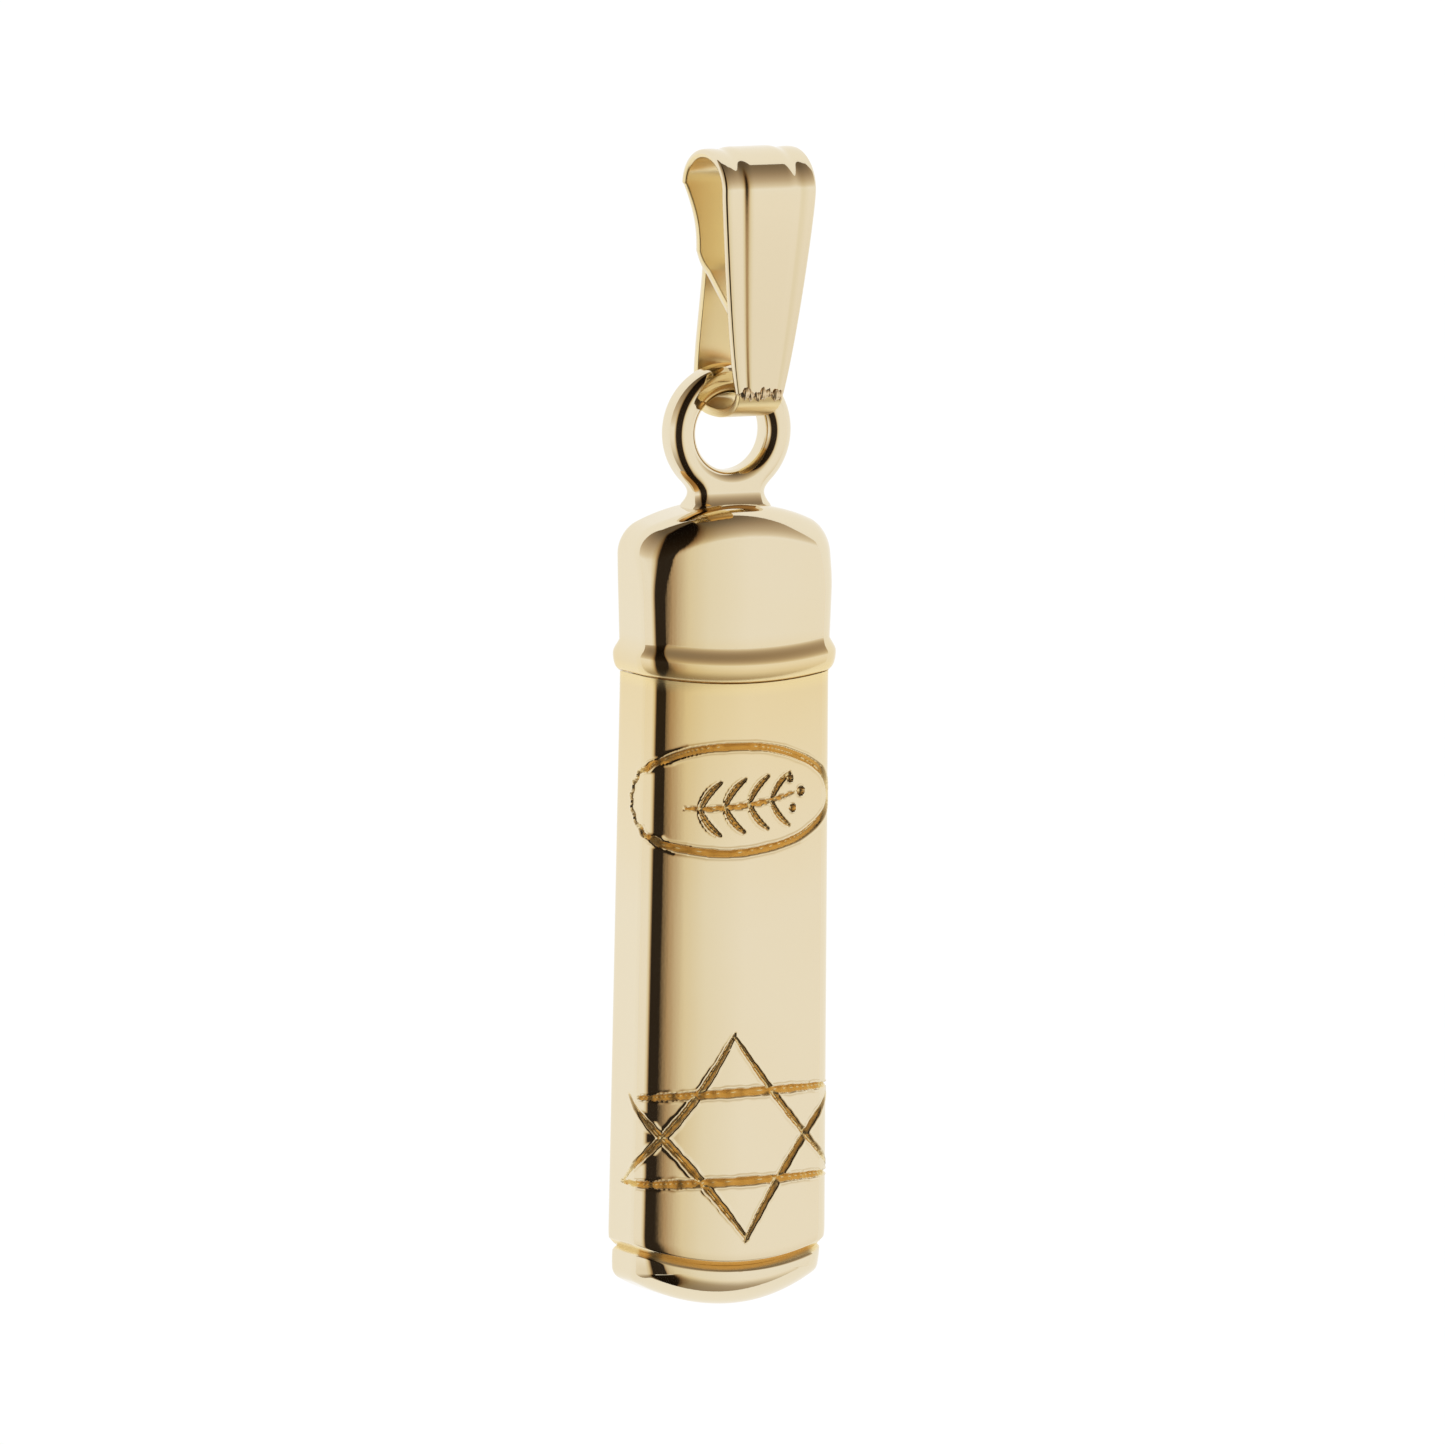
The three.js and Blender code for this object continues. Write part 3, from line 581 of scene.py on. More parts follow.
def rim_bead(material):
    """The bead round the cap's rim: crisp below, blended softly into the cap above."""
    around = np.linspace(-1, 1, 361)[:-1]
    x, y, normal_x, normal_y = section_at(around, WAIST_HALF_WIDTH + 0.004)
    base = parting_z(x, RIM_Z, RIM_DIP)
    peak = BEAD_PEAK * BEAD_HEIGHT
    up_to_peak = peak * (1 - np.cos(np.linspace(0.12, math.pi / 2, 16)))
    past_peak = peak + np.linspace(0.02, BEAD_HEIGHT - peak, 24)
    height = np.concatenate([[0], up_to_peak, past_peak])
    below = 1 - np.square(np.clip((peak - height) / peak, 0, 1))
    above = 0.5 + 0.5 * np.cos(math.pi * np.clip((height - peak) / (BEAD_HEIGHT - peak), 0, 1))
    reach = BEAD_PROUD * np.where(height < peak, np.sqrt(below), above)
    reach[0] = 0.03
    profile = list(zip(reach, height)) + [(-0.02, BEAD_HEIGHT), (-0.02, 0)]
    grid = np.array(
        [np.stack([x + normal_x * out, y + normal_y * out, base + up], axis=-1) for out, up in profile]
    )
    faces = grid_faces(number_grid(0, *grid.shape[:2]), closed_across=True, closed_along=True)
    rise = np.array([up for _, up in profile])
    # Painted shade on the lower part of the bead, below its proudest line, with rougher gold.
    marks = np.repeat(np.clip(1 - rise / (0.7 * peak), 0, 1), len(around))
    nodes = ("cap_rim_bead",)
    piece = piece_from("rim_bead", grid, faces, "cap", nodes, material, cut=marks)
    sharpen(piece, 50)
    return piece


def collar(material):
    """The thin collar in the case's mouth."""
    around = np.linspace(-1, 1, 241)[:-1]
    rows = []
    inset = WALL + COLLAR_GAP
    for gap, z in (
        (inset + 0.03, COLLAR_TOP_Z), (inset, COLLAR_TOP_Z - 0.04), (inset, COLLAR_FOOT_Z),
        (inset + COLLAR_WALL, COLLAR_FOOT_Z), (inset + COLLAR_WALL, COLLAR_TOP_Z),
    ):  # fmt: skip
        x, y, _, _ = section_at(around, WAIST_HALF_WIDTH, gap)
        rows.append(np.stack([x, y, np.full_like(x, z)], axis=-1))
    grid = np.array(rows)
    faces = grid_faces(number_grid(0, *grid.shape[:2]), closed_across=True, closed_along=True)
    piece = piece_from("collar", grid, faces, "case", ("inner_collar",), material)
    sharpen(piece, 40)
    return piece


def scroll(material):
    """Parchment rolled into a flat spiral, with slightly uneven ends."""
    turn = np.linspace(0, SCROLL_TURNS * 2 * math.pi, 260)
    inward = SCROLL_STEP * turn / (2 * math.pi)

    def spiral(half_width, half_depth):
        return np.stack([np.cos(turn) * (half_width - inward), np.sin(turn) * (half_depth - inward)], axis=-1)

    outer = spiral(SCROLL_HALF_WIDTH, SCROLL_HALF_DEPTH)
    inner = spiral(SCROLL_HALF_WIDTH - PARCHMENT, SCROLL_HALF_DEPTH - PARCHMENT)
    loop = np.concatenate([outer, inner[::-1]])
    both_turns = np.concatenate([turn, turn[::-1]])
    heights = np.linspace(0, 1, 24)
    grid = []
    for share in heights:
        ragged = 0.05 * np.sin(3 * both_turns) * (2 * share - 1) ** 5
        z = SCROLL_FOOT_Z + (SCROLL_TOP_Z - SCROLL_FOOT_Z) * share + ragged
        grid.append(np.stack([loop[:, 0], loop[:, 1] + (FRONT_Y + BACK_Y) / 2, z], axis=-1))
    grid = np.array(grid)
    numbers = number_grid(0, *grid.shape[:2])
    faces = grid_faces(numbers, closed_across=True)
    half = len(turn)
    for row in (numbers[0], numbers[-1]):
        faces += strip_faces(row[:half], row[half:][::-1], False)
    piece = piece_from("parchment_roll", grid, faces, "scroll", ("parchment_scroll",), material)
    sharpen(piece, 50)
    return piece


# ---------------------------------------------------------------- the cast eye


def eye_side():
    """The right side of the eye's outline as (x, z) points: ring, fillet into the neck, and flare."""
    turns = np.linspace(math.pi / 2, -EYE_HAND_OVER, RING_STATIONS)
    ring = [(EYE_OUTER_RADIUS * math.cos(a), EYE_Z + EYE_OUTER_RADIUS * math.sin(a)) for a in turns]
    start = ring[-1]
    heading = (-math.sin(EYE_HAND_OVER), -math.cos(EYE_HAND_OVER))
    waist = (NECK_HALF_WIDTH, NECK_Z)
    foot = (EYE_FOOT_HALF_WIDTH, EYE_FOOT_ARC_Z + math.sqrt(TOP_ARC_RADIUS**2 - EYE_FOOT_HALF_WIDTH**2))
    fillet = bezier(start, (start[0] + 0.2 * heading[0], start[1] + 0.2 * heading[1]),
                    (waist[0], waist[1] + 0.14), waist, 26)  # fmt: skip
    flare = bezier(waist, (waist[0], waist[1] - 0.14), (foot[0] - 0.1, foot[1] + 0.24), foot, 26)
    return np.array(ring + fillet[1:] + flare[1:])


def eye_outline(side):
    """The eye's whole front outline, with the place round the hole that each of its points belongs to."""
    count = 360
    across = np.linspace(EYE_FOOT_HALF_WIDTH, 0, 24)[1:]
    foot_run = np.stack([across, EYE_FOOT_ARC_Z + np.sqrt(TOP_ARC_RADIUS**2 - across**2)], axis=-1)
    half = np.concatenate([side, foot_run])
    run = np.concatenate([[0], np.cumsum(np.hypot(*np.diff(half, axis=0).T))])
    places = np.linspace(0, run[-1], count // 2 + 1)
    right = np.stack([np.interp(places, run, half[:, 0]), np.interp(places, run, half[:, 1])], axis=-1)
    stops = [math.pi / 2, -EYE_HAND_OVER, -math.pi / 2]
    right_turn = np.interp(places, [0, run[RING_STATIONS - 1], run[-1]], stops)
    left = right[1:-1][::-1] * (-1, 1)
    left_turn = math.pi - right_turn[1:-1][::-1]
    return np.concatenate([right, left]), np.concatenate([right_turn, left_turn])


def distance_to(line, points):
    """How far each (x, z) point lies from a line of points."""
    nearest = np.full(points.shape[:-1], np.inf)
    for start, end in zip(line[:-1], line[1:]):
        way = end - start
        share = np.clip(((points - start) @ way) / (way @ way), 0, 1)
        gap = points - start - share[..., None] * way
        nearest = np.minimum(nearest, np.hypot(gap[..., 0], gap[..., 1]))
    return nearest


def bezier(start, first, second, end, count):
    """Points along a cubic curve."""
    t = np.linspace(0, 1, count)[:, None]
    start, first, second, end = (np.array(p, float) for p in (start, first, second, end))
    points = start * (1 - t) ** 3 + first * 3 * t * (1 - t) ** 2 + second * 3 * t**2 * (1 - t) + end * t**3
    return [tuple(p) for p in points]


def suspension_eye(material):
    """The eye: a ring with well rounded edges on a neck that spreads out over the cap."""
    side = eye_side()
    outline, turn = eye_outline(side)
    hole = np.stack([np.cos(turn), np.sin(turn)], axis=-1) * EYE_HOLE_RADIUS + (0, EYE_Z)
    length = np.hypot(*(hole - outline).T)
    rounded = (1 - np.cos(np.linspace(0, math.pi / 2, 18))) * EYE_EDGE
    between = np.linspace(0, 1, 16)[1:-1]
    shares = [reach / length for reach in rounded]
    shares += [(EYE_EDGE + (length - 2 * EYE_EDGE) * share) / length for share in between]
    shares += [1 - reach / length for reach in rounded[::-1]]
    share = np.array(shares)[..., None]
    flat = outline + (hole - outline) * share
    below = np.array([[EYE_FOOT_HALF_WIDTH, side[-1, 1] - 0.5]])
    folded = np.stack([np.abs(flat[..., 0]), flat[..., 1]], axis=-1)
    to_side = distance_to(np.concatenate([side, below]), folded)
    to_hole = np.hypot(flat[..., 0], flat[..., 1] - EYE_Z) - EYE_HOLE_RADIUS
    inside = np.clip(np.minimum(to_side, to_hole), 0, EYE_EDGE)
    flare = np.square(np.clip((NECK_Z + 0.06 - flat[..., 1]) / EYE_FLARE_HEIGHT, 0, 1))
    rounded_edge = EYE_EDGE - np.sqrt(EYE_EDGE**2 - (EYE_EDGE - inside) ** 2)
    depth = EYE_HALF_DEPTH * (1 + EYE_SPREAD * flare) - rounded_edge
    front = np.stack([flat[..., 0], -depth, flat[..., 1]], axis=-1)
    back = front * (1, -1, 1)
    grid = np.concatenate([front, back[::-1]])
    faces = grid_faces(number_grid(0, *grid.shape[:2]), closed_across=True, closed_along=True)
    nodes = ("suspension_eye",)
    return piece_from("eye_ring", grid, faces, "cap", nodes, material, merge=1e-7)


# ---------------------------------------------------------------- the bail


def flute_height(across):
    """The pressed relief across the bail's sheet, from -1 at one edge to 1 at the other."""
    place = np.abs(across)
    panel = 0.031 * (1 - smooth_step((place - 0.38) / 0.26))
    flute = -0.019 * np.exp(-np.square((place - 0.62) / 0.11))
    rolled = -0.03 * np.square(np.clip((place - 0.84) / 0.16, 0, 1))
    return panel + flute + rolled


def path_stations(curves):
    """Joins curves of (y, z) points, and gives each point its unit normal."""
    path = np.concatenate([np.array(curve)[(1 if i else 0):] for i, curve in enumerate(curves)])
    ahead = np.gradient(path, axis=0)
    ahead /= np.hypot(*ahead.T)[:, None]
    return path, np.stack([ahead[:, 1], -ahead[:, 0]], axis=-1)


def sheet_grid(path, normal, half_width, flute, across, thickness):
    """Loops round a strip of sheet that follows a path."""
    grid = []
    for place, out, width, strength in zip(path, normal, half_width, flute):
        loop = []
        for side in (1, -1):
            stops = across if side > 0 else across[::-1]
            edge = np.sqrt(np.clip(1 - np.square(np.clip((np.abs(stops) - 0.95) / 0.05, 0, 1)), 0, 1))
            pressed = strength * flute_height(stops) if side > 0 else 0
            lift = side * thickness / 2 * (0.35 + 0.65 * edge) + pressed
            loop += [(a * width, place[0] + out[0] * h, place[1] + out[1] * h) for a, h in zip(stops, lift)]
        grid.append(loop)
    return np.array(grid)


def sheet_piece(name, grid, body, nodes, material, shade_and_dull):
    """A strip of sheet with closed ends as a piece.

    The marks given for each loop say how much painted shade, with more roughness, its outer face gets. The
    inner face is painted deeper in tone all along, as shade and gold reflected in gold, and is rougher.
    """
    numbers = number_grid(0, *grid.shape[:2])
    faces = grid_faces(numbers, closed_across=True)
    half = numbers.shape[1] // 2
    for row in (numbers[0], numbers[-1]):
        faces += strip_faces(row[:half], row[half:][::-1], False)
    marks = np.full(numbers.shape, INNER_SHADE)
    marks[:, :half] = np.array(shade_and_dull)[:, None]
    piece = piece_from(name, grid, faces, body, nodes, material, cut=marks)
    sharpen(piece, 48)
    return piece


INNER_SHADE = 0.75  # painted shade, with more roughness, on the inner faces of the sheet
ROLL_Z = SHEET / 2 - ROLL_HALF_HEIGHT
ROLL_FRONT_Y = CHAIN_SEAT_Y - ROLL_HALF_DEPTH
ROLL_BACK_Y = CHAIN_SEAT_Y + ROLL_HALF_DEPTH


def bail_sheet(material):
    """One strip: tongue, back leaf, roll over the chain, and the fluted front leaf."""
    tongue = bezier((LEAF_FOOT_Y + 0.15, -3.93), (-1.0, -3.52), (-0.55, -3.1), (-0.2, -2.76), 14)
    bend = bezier((-0.2, -2.76), (-0.08, -2.65), (BACK_LEAF_Y, -2.5), (BACK_LEAF_Y, -2.3), 8)
    back = bezier((BACK_LEAF_Y, -2.3), (BACK_LEAF_Y, -1.75), (ROLL_BACK_Y, -1.35), (ROLL_BACK_Y, ROLL_Z), 22)
    roll = [
        (CHAIN_SEAT_Y + ROLL_HALF_DEPTH * math.cos(a), ROLL_Z + ROLL_HALF_HEIGHT * math.sin(a))
        for a in np.linspace(0, math.pi, 60)
    ]
    front = bezier((ROLL_FRONT_Y, ROLL_Z), (ROLL_FRONT_Y, -1.5), (LEAF_FOOT_Y - 0.12, -4.0),
                   (LEAF_FOOT_Y, LEAF_FOOT_Z), 60)  # fmt: skip
    path, normal = path_stations([tongue, bend, back, roll, front])
    counts = [14, 7, 21, 59, 59]
    marks = np.cumsum([0] + counts)
    here = np.arange(len(path))
    up_back = np.clip((here - marks[2]) / counts[2], 0, 1)
    down_leaf = np.clip((here - marks[4]) / counts[4], 0, 1)
    half_width = np.interp(here, marks[:3], [0.45, 0.6, BACK_LEAF_HALF_WIDTH])
    half_width = half_width + (LEAF_TOP_HALF_WIDTH - BACK_LEAF_HALF_WIDTH) * up_back**2.5
    half_width = half_width - (LEAF_TOP_HALF_WIDTH - LEAF_FOOT_HALF_WIDTH) * down_leaf**1.5
    flute = np.interp(here, marks, [0, 0, 0.3, 1, 1, 0.5])
    across = np.concatenate(
        [np.linspace(-1, -0.8, 14), np.linspace(-0.79, 0.79, 81), np.linspace(0.8, 1, 14)]
    )
    grid = sheet_grid(path, normal, half_width, flute, across, SHEET)
    return sheet_piece("bail_sheet", grid, "bail", ("bail_strip",), material, np.zeros(len(path)))


def bail_loop(material):
    """The narrow strap under the eye."""
    start_z = LEAF_FOOT_Z - SOLDER_GAP
    strap_top_y = BACK_LEAF_Y + SHEET + SOLDER_GAP
    down = bezier((LEAF_FOOT_Y, start_z), (LEAF_FOOT_Y + 0.04, -5.72), (-0.95, -5.87), (-0.45, -5.87), 26)
    up = bezier((-0.45, -5.87), (0.3, -5.87), (STRAP_BACK_Y, -5.78), (STRAP_BACK_Y, -5.3), 26)
    leg = bezier((STRAP_BACK_Y, -5.3), (STRAP_BACK_Y, -4.3), (strap_top_y, -3.1),
                 (strap_top_y, STRAP_TOP_Z), 30)  # fmt: skip
    path, normal = path_stations([down, up, leg])
    here = np.arange(len(path))
    half_width = np.interp(here, [0, 25, 50], [LEAF_FOOT_HALF_WIDTH - 0.01, 0.53, STRAP_HALF_WIDTH])
    across = np.concatenate([np.linspace(-1, -0.9, 8), np.linspace(-0.85, 0.85, 15), np.linspace(0.9, 1, 8)])
    grid = sheet_grid(path, normal, half_width, np.zeros(len(path)), across, SHEET)
    # Painted shade on the strap's outer face where it runs under the eye.
    shade_and_dull = np.interp(here, [0, 40, 56], [1, 1, 0])
    return sheet_piece("bail_loop", grid, "bail", ("bail_strap",), material, shade_and_dull)


def solder_seam(name, node, y, z, side, half_height, proud, half_width, material):
    """A lumpy line of solder lying on the sheet."""
    along = np.linspace(-1, 1, 61)
    angle = np.linspace(-math.pi / 2, math.pi / 2, 17)
    grid = []
    for a in along:
        end = math.sqrt(max(1 - abs(a) ** 6, 0.04))
        lump = 1 + 0.28 * math.sin(9 * a + 1) + 0.2 * math.sin(23 * a) + 0.12 * math.sin(51 * a + 2)
        sway = 0.25 * half_height * (math.sin(7 * a) + 0.6 * math.sin(19 * a + 1))
        loop = [
            (a * half_width, y + side * proud * end * min(lump, 1.25) * 0.8 * math.cos(t),
             z + sway + half_height * end * 0.8 * lump * math.sin(t))
            for t in angle
        ]  # fmt: skip
        grid.append(loop)
    grid = np.array(grid)
    numbers = number_grid(0, *grid.shape[:2])
    faces = grid_faces(numbers, closed_across=True) + [tuple(numbers[0]), tuple(numbers[-1])]
    piece = piece_from(name, grid, faces, "bail", (node,), material)
    sharpen(piece, 60)
    return piece


# ---------------------------------------------------------------- materials


class Nodes:
    """Adds and links shader nodes in few words."""

    def __init__(self, tree):
        self.tree = tree
        tree.nodes.clear()

    def add(self, kind, settings=None, **inputs):
        node = self.tree.nodes.new(kind)
        for key, value in (settings or {}).items():
            setattr(node, key, value)
        for key, value in inputs.items():
            socket = node.inputs[key.replace("_", " ")]
            if isinstance(value, bpy.types.NodeSocket):
                self.tree.links.new(value, socket)
            else:
                socket.default_value = value
        return node

    def link(self, output, socket):
        self.tree.links.new(output, socket)


def ramp(nodes, value, stops):
    """A colour ramp over a value."""
    node = nodes.add("ShaderNodeValToRGB", Fac=value)
    elements = node.color_ramp.elements
    while len(elements) < len(stops):
        elements.new(0.5)
    for element, (place, colour) in zip(elements, stops):
        element.position = place
        element.color = (*colour, 1)
    return node


def gold(name, pale, deep, roughness, spread, wave, grain, streak):
    """Yellow gold with polishing lines, a slow wave and fine grain.

    It is pale, with a painted reflection tone that deepens it along the upper case,
    and painted shade, with more roughness, wherever the cut attribute marks it.
    """
    material = bpy.data.materials.new(name)
    material.use_nodes = True
    nodes = Nodes(material.node_tree)
    place = nodes.add("ShaderNodeTexCoord").outputs["Object"]
    height = nodes.add("ShaderNodeSeparateXYZ", Vector=place).outputs["Z"]
    along = nodes.add("ShaderNodeMapRange", Value=height)
    along.inputs["From Min"].default_value = CASE_FOOT_Z * MM
    along.inputs["From Max"].default_value = 0
    # Painted reflection tone: the colour is deepened in a band up the case, by height.
    painted_band = ramp(nodes, along.outputs["Result"], PAINTED_REFLECTION_BAND)
    drift = nodes.add("ShaderNodeTexNoise", Vector=place, Scale=420.0, Detail=3.0)
    amount = nodes.add("ShaderNodeMath", {"operation": "MULTIPLY_ADD"})
    nodes.link(drift.outputs["Fac"], amount.inputs[0])
    amount.inputs[1].default_value = 0.25
    nodes.link(painted_band.outputs["Color"], amount.inputs[2])
    colour = ramp(nodes, amount.outputs["Value"], [(0.1, pale), (1.0, deep)])
    # Painted shade: where the cut attribute marks it, the colour is mixed towards a deeper tone.
    cut = nodes.add("ShaderNodeAttribute", {"attribute_name": "cut"}).outputs["Fac"]
    shaded = nodes.add("ShaderNodeMix", {"data_type": "RGBA"})
    nodes.link(cut, shaded.inputs["Factor"])
    nodes.link(colour.outputs["Color"], shaded.inputs[6])
    shaded.inputs[7].default_value = (*PAINTED_SHADE_TONE, 1)
    smear = nodes.add("ShaderNodeTexNoise", Vector=place, Scale=900.0, Detail=4.0, Roughness=0.6)
    rough = nodes.add("ShaderNodeMapRange", Value=smear.outputs["Fac"])
    rough.inputs["From Min"].default_value = 0.3
    rough.inputs["From Max"].default_value = 0.7
    rough.inputs["To Min"].default_value = roughness
    rough.inputs["To Max"].default_value = roughness + spread
    dulled = nodes.add("ShaderNodeMath", {"operation": "MULTIPLY_ADD"})
    nodes.link(cut, dulled.inputs[0])
    dulled.inputs[1].default_value = CUT_DULLNESS
    nodes.link(rough.outputs["Result"], dulled.inputs[2])
    slow = nodes.add("ShaderNodeTexNoise", Vector=place, Scale=260.0, Detail=1.0)
    slow_bump = nodes.add("ShaderNodeBump", Height=slow.outputs["Fac"], Strength=wave, Distance=0.0001)
    stretch = nodes.add("ShaderNodeMapping", Vector=place)
    stretch.inputs["Scale"].default_value = (9000.0, 9000.0, 500.0)
    lines = nodes.add("ShaderNodeTexNoise", Vector=stretch.outputs["Vector"], Scale=1.0, Detail=3.0)
    line_bump = nodes.add("ShaderNodeBump", Height=lines.outputs["Fac"], Strength=streak, Distance=0.00001)
    nodes.link(slow_bump.outputs["Normal"], line_bump.inputs["Normal"])
    speck = nodes.add("ShaderNodeTexNoise", Vector=place, Scale=14000.0, Detail=2.0)
    grain_bump = nodes.add("ShaderNodeBump", Height=speck.outputs["Fac"], Strength=grain, Distance=0.00001)
    nodes.link(line_bump.outputs["Normal"], grain_bump.inputs["Normal"])
    shader = nodes.add(
        "ShaderNodeBsdfPrincipled",
        Base_Color=shaded.outputs[2],
        Metallic=1.0,
        Roughness=dulled.outputs["Value"],
        Normal=grain_bump.outputs["Normal"],
    )
    nodes.add("ShaderNodeOutputMaterial", Surface=shader.outputs["BSDF"])
    return material


# Painted shade: in engraved cuts, the base groove, under the rim bead and on the bail's inner faces and
# strap, the gold is painted deeper in tone and made rougher.
PAINTED_SHADE_TONE = (0.85, 0.7, 0.38)
CUT_DULLNESS = 0.28

# Painted reflection tone: how deep the gold's tone is painted, from the foot (0) to the chain seat (1); it
# deepens in a band on the upper case.
PAINTED_REFLECTION_BAND = [
    (0.0, (0.0, 0.0, 0.0)),
    (0.35, (0.0, 0.0, 0.0)),
    (0.5, (0.55, 0.55, 0.55)),
    (0.555, (0.75, 0.75, 0.75)),
    (0.585, (0.0, 0.0, 0.0)),
    (1.0, (0.0, 0.0, 0.0)),
]


def parchment_material():
    """Dry parchment: cream, mottled, faintly fibrous."""
    material = bpy.data.materials.new("parchment")
    material.use_nodes = True
    nodes = Nodes(material.node_tree)
    place = nodes.add("ShaderNodeTexCoord").outputs["Object"]
    mottle = nodes.add("ShaderNodeTexNoise", Vector=place, Scale=700.0, Detail=5.0)
    colour = ramp(nodes, mottle.outputs["Fac"], [(0.3, (0.62, 0.49, 0.31)), (0.7, (0.82, 0.72, 0.53))])
    stretch = nodes.add("ShaderNodeMapping", Vector=place)
    stretch.inputs["Scale"].default_value = (12000.0, 12000.0, 2500.0)
    fibre = nodes.add("ShaderNodeTexNoise", Vector=stretch.outputs["Vector"], Scale=1.0, Detail=4.0)
    bump = nodes.add("ShaderNodeBump", Height=fibre.outputs["Fac"], Strength=0.5, Distance=0.00002)
    shader = nodes.add(
        "ShaderNodeBsdfPrincipled",
        Base_Color=colour.outputs["Color"],
        Roughness=0.82,
        Normal=bump.outputs["Normal"],
    )
    nodes.add("ShaderNodeOutputMaterial", Surface=shader.outputs["BSDF"])
    return material


# ---------------------------------------------------------------- studio: backdrop, light and camera

VIEW_AZIMUTH = -27.0
VIEW_ELEVATION = 7.0
VIEW_LEAN = 0.75
VIEW_DISTANCE = 0.6
VIEW_WIDTH = 0.03284
BACKDROP_GAP = 0.028  # leaves room for the case to swing
BACKDROP_SIZE = 2.0


def view_way(azimuth, elevation):
    """Unit vector from the object towards a camera at those angles."""
    turn, rise = math.radians(azimuth), math.radians(elevation)
    return Vector((math.sin(turn) * math.cos(rise), -math.cos(turn) * math.cos(rise), math.sin(rise)))


def plane(name, centre, facing, width, height, material):
    """A flat stage card that faces a direction."""
    mesh = bpy.data.meshes.new(name)
    x, y = width / 2, height / 2
    mesh.from_pydata([(-x, -y, 0), (x, -y, 0), (x, y, 0), (-x, y, 0)], [], [(0, 1, 2, 3)])
    card = bpy.data.objects.new(name, mesh)
    bpy.context.scene.collection.objects.link(card)
    card.matrix_world = Matrix.Translation(centre) @ facing.to_track_quat("Z", "Y").to_matrix().to_4x4()
    mesh.materials.append(material)
    return card


def pale_card():
    """A pale, evenly lit card that can't be seen from behind, so that the object shows from every side."""
    material = bpy.data.materials.new("pale_card")
    material.use_nodes = True
    nodes = Nodes(material.node_tree)
    place = nodes.add("ShaderNodeTexCoord").outputs["Object"]
    tone = nodes.add("ShaderNodeTexNoise", Vector=place, Scale=30.0, Detail=2.0)
    colour = ramp(nodes, tone.outputs["Fac"], [(0.0, (0.9, 0.9, 0.9)), (1.0, (0.93, 0.93, 0.93))])
    matt = nodes.add("ShaderNodeBsdfDiffuse", Color=colour.outputs["Color"])
    light = nodes.add("ShaderNodeEmission", Color=(1, 1, 1, 1), Strength=1.08)
    lit = nodes.add("ShaderNodeMixShader", Fac=0.55)
    nodes.link(matt.outputs["BSDF"], lit.inputs[1])
    nodes.link(light.outputs["Emission"], lit.inputs[2])
    clear = nodes.add("ShaderNodeBsdfTransparent")
    behind = nodes.add("ShaderNodeNewGeometry").outputs["Backfacing"]
    mix = nodes.add("ShaderNodeMixShader", Fac=behind)
    nodes.link(lit.outputs["Shader"], mix.inputs[1])
    nodes.link(clear.outputs["BSDF"], mix.inputs[2])
    nodes.add("ShaderNodeOutputMaterial", Surface=mix.outputs["Shader"])
    return material


def studio_world():
    """A soft white studio, with dark gaps between its light tents to the left and behind the camera."""
    world = bpy.data.worlds.new("studio")
    bpy.context.scene.world = world
    world.use_nodes = True
    nodes = Nodes(world.node_tree)
    way = nodes.add("ShaderNodeTexCoord").outputs["Generated"]
    parts = nodes.add("ShaderNodeSeparateXYZ", Vector=way)
    turn = nodes.add("ShaderNodeMath", {"operation": "ARCTAN2"})
    nodes.link(parts.outputs["X"], turn.inputs[0])
    nodes.link(parts.outputs["Y"], turn.inputs[1])
    share = nodes.add("ShaderNodeMapRange", Value=turn.outputs["Value"])
    share.inputs["From Min"].default_value = -math.pi
    share.inputs["From Max"].default_value = math.pi
    round_about = ramp(nodes, share.outputs["Result"], WORLD_AROUND)
    height = nodes.add("ShaderNodeMapRange", Value=parts.outputs["Z"])
    height.inputs["From Min"].default_value = -1
    up_down = ramp(nodes, height.outputs["Result"], WORLD_UP)
    both = nodes.add("ShaderNodeMix", {"data_type": "RGBA", "blend_type": "MULTIPLY"})
    both.inputs["Factor"].default_value = 1
    nodes.link(round_about.outputs["Color"], both.inputs[6])
    nodes.link(up_down.outputs["Color"], both.inputs[7])
    path = nodes.add("ShaderNodeLightPath")
    again = nodes.add("ShaderNodeMath", {"operation": "GREATER_THAN"})
    nodes.link(path.outputs["Glossy Depth"], again.inputs[0])
    again.inputs[1].default_value = 1.5
    warm = nodes.add("ShaderNodeMix", {"data_type": "RGBA", "blend_type": "MULTIPLY"})
    nodes.link(again.outputs["Value"], warm.inputs["Factor"])
    nodes.link(both.outputs[2], warm.inputs[6])
    warm.inputs[7].default_value = (*TWICE_REFLECTED, 1)
    even = nodes.add("ShaderNodeBackground", Color=(1, 1, 1, 1), Strength=1.0)
    glow = nodes.add("ShaderNodeBackground", Color=warm.outputs[2], Strength=1.0)
    mix = nodes.add("ShaderNodeMixShader", Fac=path.outputs["Is Glossy Ray"])
    nodes.link(even.outputs["Background"], mix.inputs[1])
    nodes.link(glow.outputs["Background"], mix.inputs[2])
    nodes.add("ShaderNodeOutputWorld", Surface=mix.outputs["Shader"])


# Light that reaches gold by way of other gold.
TWICE_REFLECTED = (0.95, 0.7, 0.4)

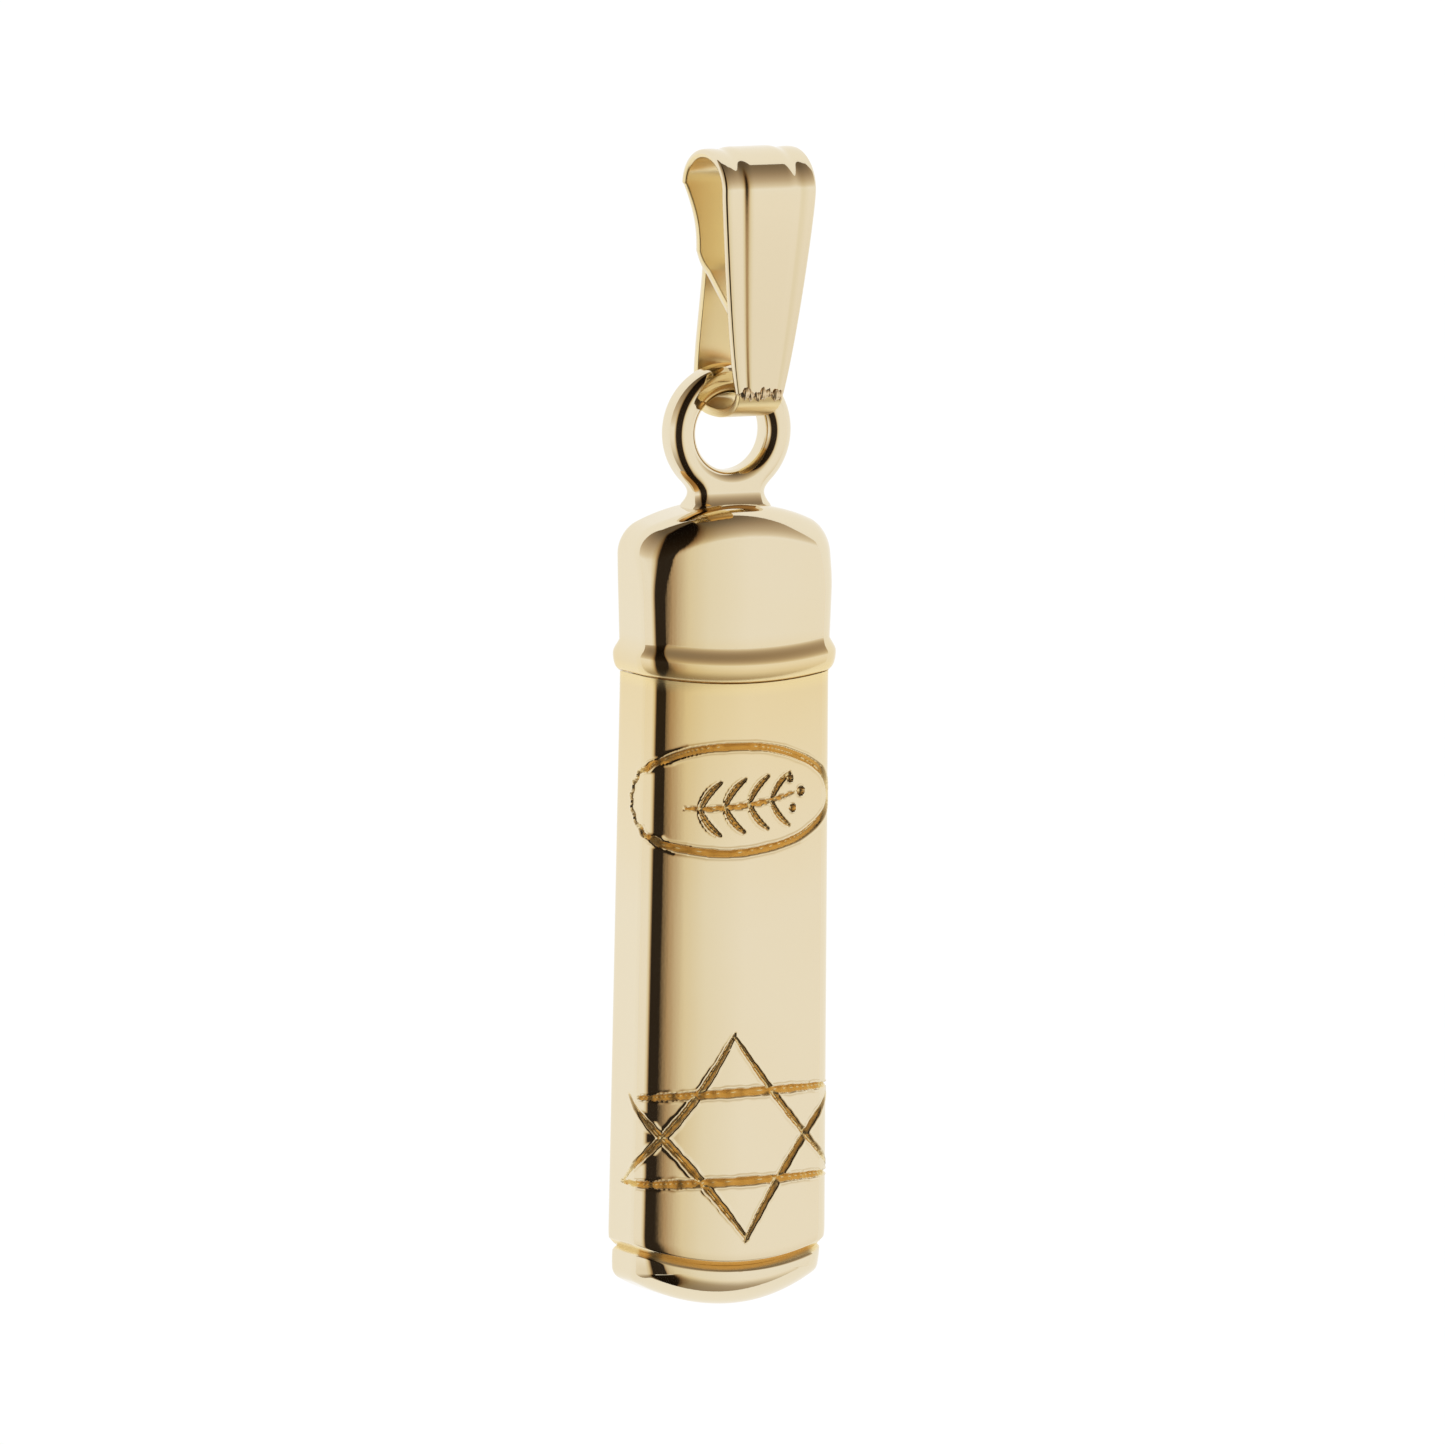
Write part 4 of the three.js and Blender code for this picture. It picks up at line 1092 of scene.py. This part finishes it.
# Round the horizon: 0 is straight in front of the case, 0.25 its left, 0.5 behind it and 0.75 its right.
SLOT = (0.03, 0.022, 0.016)
AMBER = (0.5, 0.36, 0.22)
CREAM = (0.86, 0.79, 0.62)
WORLD_AROUND = [
    (0.0, AMBER),
    (0.008, SLOT),
    (0.145, SLOT),
    (0.162, AMBER),
    (0.18, CREAM),
    (0.21, (1.0, 1.0, 1.0)),
    (0.33, (1.0, 1.0, 1.0)),
    (0.42, (1.0, 0.88, 0.58)),
    (0.53, (1.0, 1.0, 1.0)),
    (0.925, (1.0, 1.0, 1.0)),
    (0.965, (0.94, 0.92, 0.84)),
    (0.985, CREAM),
    (1.0, AMBER),
]
# From straight down (0) by the horizon (0.5) to straight up (1).
WORLD_UP = [
    (0.0, (0.3, 0.24, 0.17)),
    (0.15, (0.5, 0.42, 0.32)),
    (0.3, (0.9, 0.85, 0.76)),
    (0.4, (1.0, 0.98, 0.95)),
    (0.52, (1.0, 1.0, 1.0)),
    (0.6, (0.84, 0.77, 0.66)),
    (0.72, (0.62, 0.52, 0.4)),
    (0.85, (0.4, 0.31, 0.22)),
    (1.0, (0.12, 0.09, 0.06)),
]


def area_light(name, direction, distance, size, power, centre):
    """A soft light in a direction from the object, which doesn't show as a reflection."""
    light = bpy.data.lights.new(name, "AREA")
    light.shape = "RECTANGLE"
    light.size, light.size_y = size
    light.energy = power
    lamp = bpy.data.objects.new(name, light)
    bpy.context.scene.collection.objects.link(lamp)
    lamp.location = centre + direction * distance
    lamp.rotation_euler = direction.to_track_quat("Z", "Y").to_euler()
    lamp.visible_glossy = False
    return lamp


def set_camera(centre):
    """A long lens at the angle the object is usually shown from."""
    data = bpy.data.cameras.new("camera")
    data.sensor_width = 36
    data.lens = data.sensor_width * VIEW_DISTANCE / VIEW_WIDTH
    data.clip_start = 0.01
    data.clip_end = 10
    camera = bpy.data.objects.new("camera", data)
    bpy.context.scene.collection.objects.link(camera)
    way = view_way(VIEW_AZIMUTH, VIEW_ELEVATION)
    facing = way.to_track_quat("Z", "Y").to_matrix().to_4x4()
    lean = Matrix.Rotation(math.radians(VIEW_LEAN), 4, "Z")
    camera.matrix_world = Matrix.Translation(centre + way * VIEW_DISTANCE) @ facing @ lean
    bpy.context.scene.camera = camera


# ---------------------------------------------------------------- build

# In each gold, deep is the colour that the painted reflection band up the case mixes in.
polished = gold(
    "polished_gold", pale=(0.8, 0.705, 0.515), deep=(0.79, 0.635, 0.35),
    roughness=0.035, spread=0.03, wave=0.1, grain=0.02, streak=0.03,
)  # fmt: skip
plain = gold(
    "plain_gold", pale=(0.8, 0.64, 0.38), deep=(0.74, 0.57, 0.32),
    roughness=0.22, spread=0.1, wave=0.2, grain=0.2, streak=0.35,
)  # fmt: skip
solder = gold(
    "solder_gold", pale=(0.74, 0.6, 0.4), deep=(0.66, 0.5, 0.3),
    roughness=0.2, spread=0.15, wave=0.6, grain=0.5, streak=0.1,
)  # fmt: skip

bail_sheet(polished)
bail_loop(polished)
solder_seam(
    "front_solder", "bail_front_solder", LEAF_FOOT_Y - SHEET / 2 + 0.01, LEAF_FOOT_Z - 0.03,
    side=-1, half_height=0.14, proud=0.09, half_width=0.57, material=solder,
)  # fmt: skip
solder_seam(
    "back_solder", "bail_back_solder", BACK_LEAF_Y + SHEET / 2 + 0.01, STRAP_TOP_Z + 0.1,
    side=1, half_height=0.08, proud=0.13, half_width=0.48, material=solder,
)  # fmt: skip
suspension_eye(polished)
cap_shell(polished)
rim_bead(polished)
case_shell(polished)
collar(plain)
base_shell(polished)
scroll(parchment_material())

low, high = (Vector(corner) for corner in cad_box)
middle = (low + high) / 2
toward = view_way(VIEW_AZIMUTH, VIEW_ELEVATION)
card = pale_card()
plane("backdrop", middle - toward * BACKDROP_GAP, toward, BACKDROP_SIZE, BACKDROP_SIZE, card)
studio_world()
area_light("key", view_way(-60, 40), distance=0.3, size=(0.1, 0.1), power=0.05, centre=middle)
set_camera(Vector((middle.x, -CHAIN_SEAT_Y * MM, middle.z)))
bpy.context.scene.view_settings.view_transform = "Standard"
